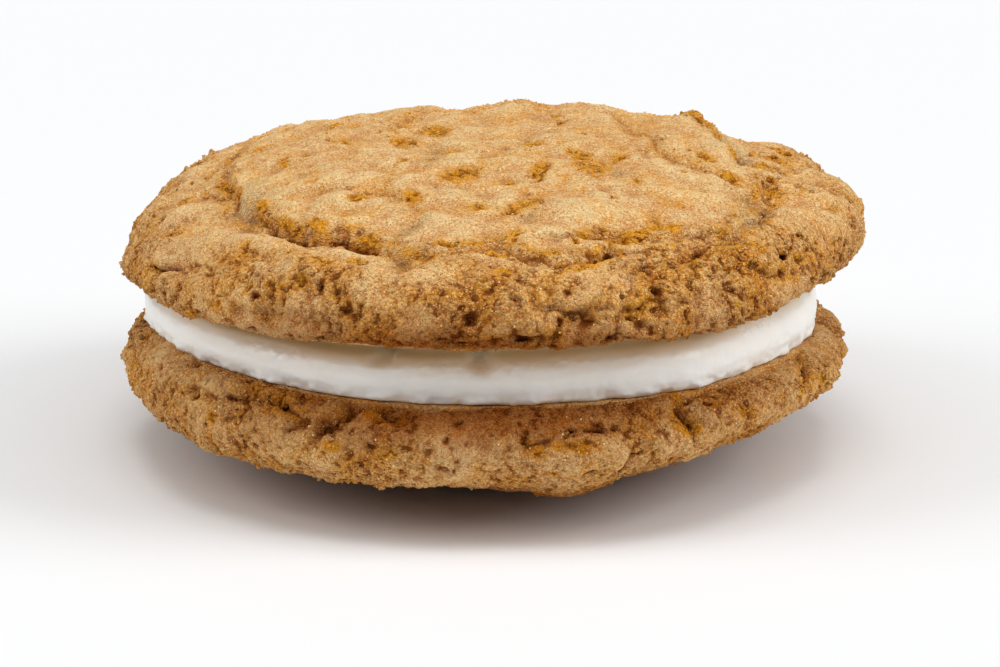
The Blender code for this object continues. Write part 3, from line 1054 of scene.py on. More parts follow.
    def damage(
        self, smooth: np.ndarray, ragged: np.ndarray, frayed: np.ndarray, reach: np.ndarray, crust: np.ndarray
    ) -> tuple[Wear, np.ndarray]:
        """Works out where the crust is cracked, torn and crumbling.

        Args:
            smooth, ragged and frayed: the smooth crust's points, and the same shifted a lot and a little.
            reach: the points' reach.
            crust: 1 where the crust is seen, 0 where the cream covers it.

        Returns:
            The crust's wear, and how far each point rises.
        """
        rough = self.crumbling
        gaping = smoothstep(-0.45, 0.45, waves(smooth, 0.0060, 2, self.seed + 61.0))
        sunk, raised, brink = self.grooves(ragged, self.cracks, gaping)
        small, _, _ = self.grooves(ragged, list(self.small_cracks()), gaping)
        hollow, tones = self.torn(frayed, [*self.gouges, *self.tears()])
        patch = waves(smooth, 0.009, 3, self.seed + 31.0)
        crumb = smoothstep(rough.rim_from, rough.rim_full, reach + 0.0026 * patch)
        crumb *= 0.45 + 0.55 * smoothstep(-0.5, 0.1, waves(smooth, 0.0075, 3, self.seed + 37.0))
        crumb = np.maximum(crumb, np.maximum(smoothstep(0.0005, 0.0016, sunk), 0.8 * brink))
        crumb *= 1.0 - 0.85 * tones[Tone.SKIN]
        crumb = np.maximum(crumb, tones[Tone.GOLD]) * (1.0 - 0.8 * tones[Tone.HOLLOW_SHADE]) * crust
        sharp = smoothstep(0.2, 0.8, crumb)
        soft = 0.0005 * waves(smooth, 0.0042, 2, self.seed + 52.0)
        dent = sharp * 0.7 * rough.crown_dent * billows(frayed, 0.0042, 3, self.seed + 51.0)
        dent += (1.0 - sharp) * soft
        drop = sunk + hollow + small * (0.3 + 0.7 * crumb)
        holes = -self.bumps(frayed, list(self.pits()))
        return Wear(crust, patch, gaping, sunk, small, brink, tones, crumb, holes), raised + dent - drop

    def relief(self, smooth: np.ndarray, frayed: np.ndarray, wear: Wear) -> np.ndarray:
        """Args: smooth and frayed points, and the wear. Returns: the height of clods, grains and pits."""
        rough = self.crumbling
        clod = billows(frayed, rough.clod, 3, self.seed)
        grain = cells(shaken(smooth, (0.0002, 0.0006, self.seed + 5.0)), rough.grain, self.seed + 9.0)
        grain = rough.grain_mean - grain
        fine = rough.clod_height * clod + rough.grain_height * grain
        fine += 0.00010 * waves(smooth, 0.0008, 2, self.seed + 71.0)
        light = 0.35 * rough.grain_height * grain + 0.00007 * waves(smooth, 0.0012, 2, self.seed + 81.0)
        calm = 1.0 - 0.6 * wear.tones[Tone.SKIN]
        return wear.crumb * fine + (1.0 - wear.crumb) * light * calm - wear.holes

    def marks(
        self,
        points: np.ndarray,
        triangles: np.ndarray,
        normal: np.ndarray,
        angle: np.ndarray,
        reach: np.ndarray,
        smooth: np.ndarray,
        wear: Wear,
    ) -> dict[str, np.ndarray]:
        """Works out what the material and the scattered grains read.

        Args:
            points, triangles and normal: the finished mesh and its point directions.
            angle, reach and smooth: where each point lies on the smooth cookie.
            wear: what has happened to it.

        Returns:
            Named values for each point.
        """
        crust, crumb, tones = wear.crust, wear.crumb, wear.tones
        ridge = np.einsum("ij,ij->i", points - smoothed(points, triangles, 4), normal) / RIDGE_HEIGHT
        bowl = np.einsum("ij,ij->i", smoothed(points, triangles, 60) - points, normal) / BOWL_DEPTH
        # How darkly shade is painted into cracks, fissures, pits and the deep-shade gouges
        deep = 0.75 * tones[Tone.DARK] * smoothstep(-0.5, 0.3, waves(smooth, 0.0011, 2, self.seed + 93.0))
        deep = deep + smoothstep(0.0008, 0.0026, wear.sunk * (0.4 + 0.6 * wear.gaping))
        fissured = 0.5 * smoothstep(0.0002, 0.0008, wear.small * crumb)
        deep += fissured + 0.9 * smoothstep(0.0002, 0.0007, wear.holes)
        edges = wear.brink * smoothstep(-0.25, 0.35, waves(smooth, 0.0022, 3, self.seed + 91.0))
        clear = crust * smoothstep(0.0008, 0.0016, points[:, 2])
        # Painted shade towards the flat side, strongest at the front and back and weak at the better lit
        # sides; and over the crown's middle, where the lower cookie rests on the floor
        underside_shade_from, wavering = self.crumbling.underside_shade_from, reach + 0.0012 * wear.patch
        under = smoothstep(underside_shade_from, underside_shade_from + 0.006, wavering) * crust
        under *= 0.2 + 0.8 * np.sin(np.radians(angle)) ** 4
        under = np.maximum(under, self.crown_shade * (1.0 - smoothstep(*self.crown_fade, wavering)))
        loose = np.maximum(crumb * smoothstep(-0.2, 0.5, wear.patch), 0.012)
        return {
            "crevice": np.clip(deep, 0.0, 1.0) * crust,
            "crumb": crumb,
            "hollow_shade": tones[Tone.HOLLOW_SHADE],
            "gold": np.clip(tones[Tone.GOLD] + 0.8 * edges, 0.0, 1.0) * (1.0 - tones[Tone.SKIN]),
            "ridge": np.clip(ridge, -1.0, 1.0),
            "hollow": np.clip(bowl, -1.0, 1.0) * crust,
            "under": under,
            "sugar": clear * (1.0 - 0.6 * tones[Tone.SKIN]) * (1.0 - 0.7 * crumb) * (1.0 - under),
            "grit": clear * np.maximum(crumb, 0.06) * (1.0 - 0.6 * under),
            "loose": clear * loose * (1.0 - 0.6 * under),
        }

    def split(
        self,
        points: np.ndarray,
        triangles: np.ndarray,
        normal: np.ndarray,
        marks: dict[str, np.ndarray],
        finish: bpy.types.Material,
    ) -> Iterator[bpy.types.Object]:
        """Cuts the crust into sectors.

        Args:
            points, triangles, normal and marks: the whole mesh, its point directions and its named values.
            finish: its material.

        Yields:
            One object for each sector, shaded as if they were still joined.
        """
        middle = points[triangles].mean(axis=1)
        sector = np.floor((np.arctan2(middle[:, 1], middle[:, 0]) / math.tau % 1.0) * self.sectors)
        for number in range(self.sectors):
            used, own = np.unique(triangles[sector == number], return_inverse=True)
            own_marks = {key: values[used] for key, values in marks.items()}
            obj = mesh_object(f"{self.name}_{number + 1}", points[used], own.reshape(-1, 3), own_marks)
            obj.data.normals_split_custom_set_from_vertices(normal[used].tolist())
            obj.data.materials.append(finish)
            yield obj


@dataclass
class CreamFilling:
    """The cream: a thick disc whose edge bulges low down and draws in under the upper cookie."""

    lower: Cookie
    upper: Cookie
    radius: float = 0.0390
    outline: tuple[Lobe, ...] = (
        Lobe(180, 16, 0.0020),
        Lobe(285, 20, -0.0008),
        Lobe(305, 8, 0.0004),
        Lobe(325, 8, -0.0008),
    )
    # The edge from its foot to its top: how far it stands out, and its share of the height
    edge: tuple[tuple[float, float], ...] = (
        (-0.0003, 0.0),
        (0.0002, 0.04),
        (0.0004, 0.14),
        (0.0006, 0.30),
        (0.0004, 0.48),
        (-0.0001, 0.60),
        (-0.0013, 0.69),
        (-0.0028, 0.77),
        (-0.0040, 0.88),
        (-0.0044, 1.0),
    )
    # Away from the front, round this angle and over this spread, the upper part draws in by less
    drawn_in: tuple[float, float, float] = (285.0, 55.0, 0.45)
    # Dents and drag marks of the edge: angle, share of the height, spreads of both, and depth
    dents: tuple[tuple[float, float, float, float, float], ...] = (
        (268.8, 0.70, 1.2, 0.08, 0.0036),
        (252.3, 0.73, 1.3, 0.07, 0.0034),
        (250.2, 0.74, 0.6, 0.05, -0.0007),
        (254.2, 0.72, 0.6, 0.05, -0.0007),
        (290.0, 0.60, 5.0, 0.08, 0.0002),
        (231.0, 0.62, 4.0, 0.10, 0.0002),
        (322.0, 0.55, 6.0, 0.12, 0.0002),
    )
    # Stretches where the edge's ridge is pulled up into small glossy peaks: angle and spread
    peaks: tuple[tuple[float, float], ...] = ((271.0, 14.0), (233.0, 6.0), (324.0, 5.0))
    # Shares of the height: the foot and the ridge with their spreads, and where two parts begin and are full
    foot: tuple[float, float] = (0.06, 0.07)
    ridge: tuple[float, float] = (0.60, 0.07)
    upper_part: tuple[float, float] = (0.55, 0.70)
    shaded_part: tuple[float, float] = (0.64, 0.76)
    around: int = 1100

    @staticmethod
    def sheet_height(cookie: Cookie, x: np.ndarray) -> np.ndarray:
        """Args: a cookie and X of points. Returns: the height of the cookie's flat side there."""
        return cookie.flat + math.tan(math.radians(cookie.lean)) * x

    def build(self, finish: bpy.types.Material) -> bpy.types.Object:
        """Makes the cream's mesh and dresses it.

        Args:
            finish: its material.

        Returns:
            The cream.
        """
        cut = self.profile()
        turn = np.arange(self.around) * math.tau / self.around
        angle = np.degrees(turn)
        radius = self.ring_radius(cut, angle)
        ring_x, ring_y = radius * np.cos(turn), radius * np.sin(turn)
        share = np.repeat(cut[:, 1:], self.around, axis=1)
        low = self.sheet_height(self.lower, ring_x) + PIECE_GAP
        high = self.sheet_height(self.upper, ring_x) - PIECE_GAP
        points = np.stack([ring_x, ring_y, low + (high - low) * share], axis=-1).reshape(-1, 3)
        side = smoothstep(0.85, 0.97, (radius / self.radius).ravel())
        share, angle = share.ravel(), np.tile(angle, len(cut))
        ridge = bell((share - self.ridge[0]) / self.ridge[1])
        glossy = np.zeros(len(points))
        for at, spread in self.peaks:
            glossy = np.maximum(glossy, bell(way_round(angle, at) / spread))
        off = self.ripples(points, angle, share) + 0.00016 * ridge * glossy * waves(points, 0.0009, 2, 18.0)
        outward = points * [1.0, 1.0, 0.0]
        outward /= np.linalg.norm(outward, axis=1)[:, None]
        points += outward * (off * side)[:, None]
        ends = [[0.0, 0.0, self.lower.flat + PIECE_GAP], [0.0, 0.0, self.upper.flat - PIECE_GAP]]
        marks = {
            "recess": np.append(smoothstep(*self.shaded_part, share) * side, [0.0, 0.0]),
            "wet": np.append(ridge * side * (0.3 + 0.7 * glossy), [0.0, 0.0]),
        }
        faces = self.faces(len(cut))
        obj = mesh_object("cream", np.concatenate([points, ends]), faces, marks)
        obj.data.materials.append(finish)
        LOG.info("cream: %d triangles", len(faces))
        return obj

    def profile(self) -> np.ndarray:
        """Returns: rings from the bottom's middle over the edge to the top's: radius and share of height."""
        curve = smooth_curve([(self.radius + out, share) for out, share in self.edge], 8)
        steps = np.linspace(0.0, 1.0, 6)[1:-1]
        rings = [(step * curve[0, 0], 0.0) for step in steps]
        rings += [tuple(point) for point in curve]
        rings += [(step * curve[-1, 0], 1.0) for step in steps[::-1]]
        return np.array(rings)

    def ring_radius(self, cut: np.ndarray, angle: np.ndarray) -> np.ndarray:
        """Args: the profile, and the angles of its copies. Returns: each ring's radius at each angle."""
        grown = np.ones(self.around)
        for lobe in self.outline:
            grown += lobe.size / self.radius * bell(way_round(angle, lobe.angle) / lobe.spread)
        middle, spread, least = self.drawn_in
        recess = least + (1.0 - least) * bell(way_round(angle, middle) / spread)
        upper = smoothstep(*self.upper_part, cut[:, 1:])
        inward = np.minimum(cut[:, :1] - self.radius, 0.0) * upper * smoothstep(0.030, 0.034, cut[:, :1])
        return (cut[:, :1] + inward * (recess[None] - 1.0)) * grown[None]

    def ripples(self, points: np.ndarray, angle: np.ndarray, share: np.ndarray) -> np.ndarray:
        """Args: points, their angles and shares of the height. Returns: how far each stands out."""
        off = 0.00022 * waves(points, 0.010, 2, 3.0) + 0.00007 * waves(points, 0.0016, 3, 5.0)
        off += 0.00012 * waves(points * [1.0, 1.0, 3.0], 0.0050, 2, 8.0)
        for at, level, spread, fade, depth in self.dents:
            off -= depth * bell(way_round(angle, at) / spread, (share - level) / fade)
        off += bell((share - self.foot[0]) / self.foot[1]) * 0.00060 * waves(points, 0.0030, 3, 12.0)
        return off + 0.00006 * waves(points * [1.0, 1.0, 0.25], 0.0012, 2, 15.0)

    def faces(self, rings: int) -> np.ndarray:
        """Args: how many rings there are. Returns: triangles between them, and fans that close both ends."""
        here = np.arange(self.around)
        after = np.roll(here, -1)
        parts = []
        for ring in range(rings - 1):
            a, b = ring * self.around + here, ring * self.around + after
            c, d = a + self.around, b + self.around
            parts += [np.stack([a, b, d], axis=1), np.stack([a, d, c], axis=1)]
        last = (rings - 1) * self.around
        bottom, top = rings * self.around, rings * self.around + 1
        parts.append(np.stack([after, here, np.full(self.around, bottom)], axis=1))
        parts.append(np.stack([last + here, last + after, np.full(self.around, top)], axis=1))
        return np.concatenate(parts)


@dataclass(frozen=True)
class Scatter:
    """Many small grains of one kind lying on a cookie's crust, half sunk in it.

    size is a grain's width, uneven how much that varies, and per_area how many lie on a square metre where
    the crust's value named mark is 1. Where that value is lower there are fewer.
    """

    name: str
    shape: Shape
    size: float
    uneven: float
    per_area: float
    mark: str
    seed: int

    def tree(self, finish: bpy.types.Material) -> bpy.types.GeometryNodeTree:
        """Builds the Geometry Nodes tree that scatters the grains.

        Args:
            finish: the grains' material.

        Returns:
            The tree. Its inputs Size and Density are set on the modifier.
        """
        tree = bpy.data.node_groups.new(self.name, "GeometryNodeTree")
        tree.interface.new_socket("Geometry", in_out="INPUT", socket_type="NodeSocketGeometry")
        tree.interface.new_socket("Size", in_out="INPUT", socket_type="NodeSocketFloat")
        tree.interface.new_socket("Density", in_out="INPUT", socket_type="NodeSocketFloat")
        tree.interface.new_socket("Geometry", in_out="OUTPUT", socket_type="NodeSocketGeometry")
        graph = Graph(tree)
        given = graph.add("NodeGroupInput").outputs
        where = graph.add("GeometryNodeInputNamedAttribute", {"Name": self.mark}, data_type="FLOAT")
        density = graph.times(where.outputs["Attribute"], given["Density"])
        points = graph.add(
            "GeometryNodeDistributePointsOnFaces",
            {"Mesh": given["Geometry"], "Seed": self.seed, "Density": density},
        )
        low, high = 1.0 - self.uneven, 1.0 + self.uneven
        turn = self.random(graph, "FLOAT_VECTOR", (0.0, 0.0, 0.0), (math.tau, math.tau, math.tau), 1)
        stretch = self.random(graph, "FLOAT_VECTOR", (low, low, low), (high, high, high), 2)
        sized = graph.add("ShaderNodeVectorMath", {0: stretch}, operation="SCALE")
        graph.feed(sized.inputs["Scale"], given["Size"])
        laid = graph.add(
            "GeometryNodeInstanceOnPoints",
            {"Points": points.outputs["Points"], "Instance": self.grain(graph), "Rotation": turn},
        )
        graph.feed(laid.inputs["Scale"], sized.outputs[0])
        stored = graph.add(
            "GeometryNodeStoreNamedAttribute",
            {"Geometry": laid.outputs[0], "Name": "tint"},
            data_type="FLOAT",
            domain="INSTANCE",
        )
        graph.feed(stored.inputs["Value"], self.random(graph, "FLOAT", 0.0, 1.0, 3))
        real = graph.add("GeometryNodeRealizeInstances", {"Geometry": stored.outputs[0]})
        shaped = self.roughen(graph, real.outputs[0], given["Size"])
        dressed = graph.add("GeometryNodeSetMaterial", {"Geometry": shaped, "Material": finish})
        graph.add("NodeGroupOutput", {"Geometry": dressed.outputs[0]})
        return tree

    def random(self, graph: Graph, kind: str, low: object, high: object, seed: int) -> bpy.types.NodeSocket:
        """Args: graph, kind of value, its ends and a seed. Returns: a random value's socket."""
        node = graph.add("FunctionNodeRandomValue", data_type=kind)
        numbered = {"FLOAT_VECTOR": (0, 1, 0), "FLOAT": (2, 3, 1)}[kind]
        node.inputs[numbered[0]].default_value = low
        node.inputs[numbered[1]].default_value = high
        node.inputs["Seed"].default_value = self.seed + seed
        return node.outputs[numbered[2]]

    def grain(self, graph: Graph) -> bpy.types.NodeSocket:
        """Args: graph. Returns: the socket of one grain's mesh, one metre wide before it is scaled."""
        if self.shape is Shape.CRYSTAL:
            return graph.add("GeometryNodeMeshCube", {"Size": (1.0, 0.85, 0.75)}).outputs["Mesh"]
        finer = 2 if self.shape is Shape.CRUMB else 1
        ball = graph.add("GeometryNodeMeshIcoSphere", {"Radius": 0.5, "Subdivisions": finer})
        smooth = graph.add("GeometryNodeSetShadeSmooth", {"Geometry": ball.outputs["Mesh"]})
        return smooth.outputs[0]

    def roughen(
        self, graph: Graph, mesh: bpy.types.NodeSocket, size: bpy.types.NodeSocket
    ) -> bpy.types.NodeSocket:
        """Args: graph, mesh and grain size. Returns: the mesh, with crumbs made lumpy and crystals kept."""
        if self.shape is Shape.CRYSTAL:
            return mesh
        scale = graph.math("DIVIDE", CRUMB_LUMPS, size)
        field_node = graph.add("ShaderNodeTexNoise", {"Scale": scale, "Detail": 2.0})
        centred = graph.add("ShaderNodeVectorMath", {0: field_node.outputs["Color"], 1: (0.5, 0.5, 0.5)})
        centred.operation = "SUBTRACT"
        push = graph.add("ShaderNodeVectorMath", {0: centred.outputs[0]}, operation="SCALE")
        graph.feed(push.inputs["Scale"], graph.times(size, CRUMB_UNEVEN))
        moved = graph.add("GeometryNodeSetPosition", {"Geometry": mesh, "Offset": push.outputs[0]})
        return moved.outputs[0]

    def build(self, cookie: Cookie, finish: bpy.types.Material) -> bpy.types.Object:
        """Scatters the grains over a cookie.

        Args:
            cookie: what they lie on.
            finish: their material.

        Returns:
            One mesh of all the grains.
        """
        modifier = cookie.bed.modifiers.new("scatter", "NODES")
        modifier.node_group = self.tree(finish)
        items = modifier.node_group.interface.items_tree
        sockets = {item.name: item.identifier for item in items if item.in_out == "INPUT"}
        modifier[sockets["Size"]] = self.size
        modifier[sockets["Density"]] = self.per_area
        depsgraph = bpy.context.evaluated_depsgraph_get()
        whole = bpy.data.meshes.new_from_object(cookie.bed.evaluated_get(depsgraph))
        cookie.bed.modifiers.remove(modifier)
        whole.name = self.name
        obj = bpy.data.objects.new(self.name, whole)
        bpy.context.scene.collection.objects.link(obj)
        LOG.info("%s: %d triangles", self.name, sum(len(p.vertices) - 2 for p in whole.polygons))
        return obj


@dataclass
class Studio:
    """A white floor, soft light from above and behind, and the camera."""

    aim: tuple[float, float, float] = (0.0014, 0.0, 0.0129)
    elevation: float = 15.7
    distance: float = 0.370
    lens: float = 109.2
    sky: float = 0.22
    # The strip of soft light over the table: each part's lean to the right, in degrees, and its strength
    strip: tuple[tuple[float, float], ...] = ((-58, 0.80), (-32, 0.30), (0, 1.06), (32, 0.34), (58, 1.32))
    strip_forward: float = 8.0
    strip_softness: float = 32.0
    fill: float = 0.24
    fill_forward: float = 50.0

    floor_half: float = 4.0
    floor_colour: Colour = (0.88, 0.888, 0.896)
    floor_gloss: float = 0.1

    def camera(self) -> None:
        """Makes the camera, at the photograph's viewing angle."""
        data = bpy.data.cameras.new("camera")
        data.lens = self.lens
        data.sensor_width = SENSOR_WIDTH
        data.sensor_fit = "HORIZONTAL"
        data.clip_start = NEAREST_SEEN
        obj = bpy.data.objects.new("camera", data)
        rise = math.radians(self.elevation)
        obj.location = (
            self.aim[0],
            self.aim[1] - self.distance * math.cos(rise),
            self.aim[2] + self.distance * math.sin(rise),
        )
        obj.rotation_euler = (math.pi / 2.0 - rise, 0.0, 0.0)
        bpy.context.scene.collection.objects.link(obj)
        bpy.context.scene.camera = obj

    def floor(self) -> None:
        """Makes the floor, a wide white sheet that isn't part of the sandwich."""
        half = self.floor_half
        corners = np.array([(x * half, y * half, 0.0) for x, y in ((-1, -1), (1, -1), (1, 1), (-1, 1))])
        obj = mesh_object("floor", corners, np.array([(0, 1, 2, 3)]), {})
        material, graph, shader = new_material("floor_white")
        fine = graph.noise(graph.object_place(), 900.0, 2.0)
        graph.feed(shader.inputs["Roughness"], graph.change(fine, 0.3, 0.7, 0.75, 0.85))
        shader.inputs["Base Color"].default_value = (*self.floor_colour, 1.0)
        shader.inputs["Specular IOR Level"].default_value = self.floor_gloss
        obj.data.materials.append(material)

    def lights(self) -> None:
        """Makes the even white surroundings, a wide strip of soft light overhead and a weak one in front."""
        world = bpy.data.worlds.new("surroundings")
        world.use_nodes = True
        back = world.node_tree.nodes["Background"]
        back.inputs["Color"].default_value = (1.0, 1.0, 1.0, 1.0)
        back.inputs["Strength"].default_value = self.sky
        bpy.context.scene.world = world
        for lean, strength in self.strip:
            self.light("strip", self.strip_forward, lean, strength)
        self.light("fill", self.fill_forward, 0.0, self.fill)

    def light(self, name: str, forward: float, lean: float, strength: float) -> None:
        """Args: name, degrees that the light stands forward and to the right of overhead, and strength."""
        data = bpy.data.lights.new(name, "SUN")
        data.angle = math.radians(self.strip_softness)
        data.energy = strength
        obj = bpy.data.objects.new(name, data)
        obj.rotation_euler = (math.radians(forward), math.radians(lean), 0.0)
        bpy.context.scene.collection.objects.link(obj)

    def build(self) -> None:
        """Makes the camera, the floor and the light."""
        self.camera()
        self.floor()
        self.lights()
        bpy.context.scene.view_settings.view_transform = "Standard"


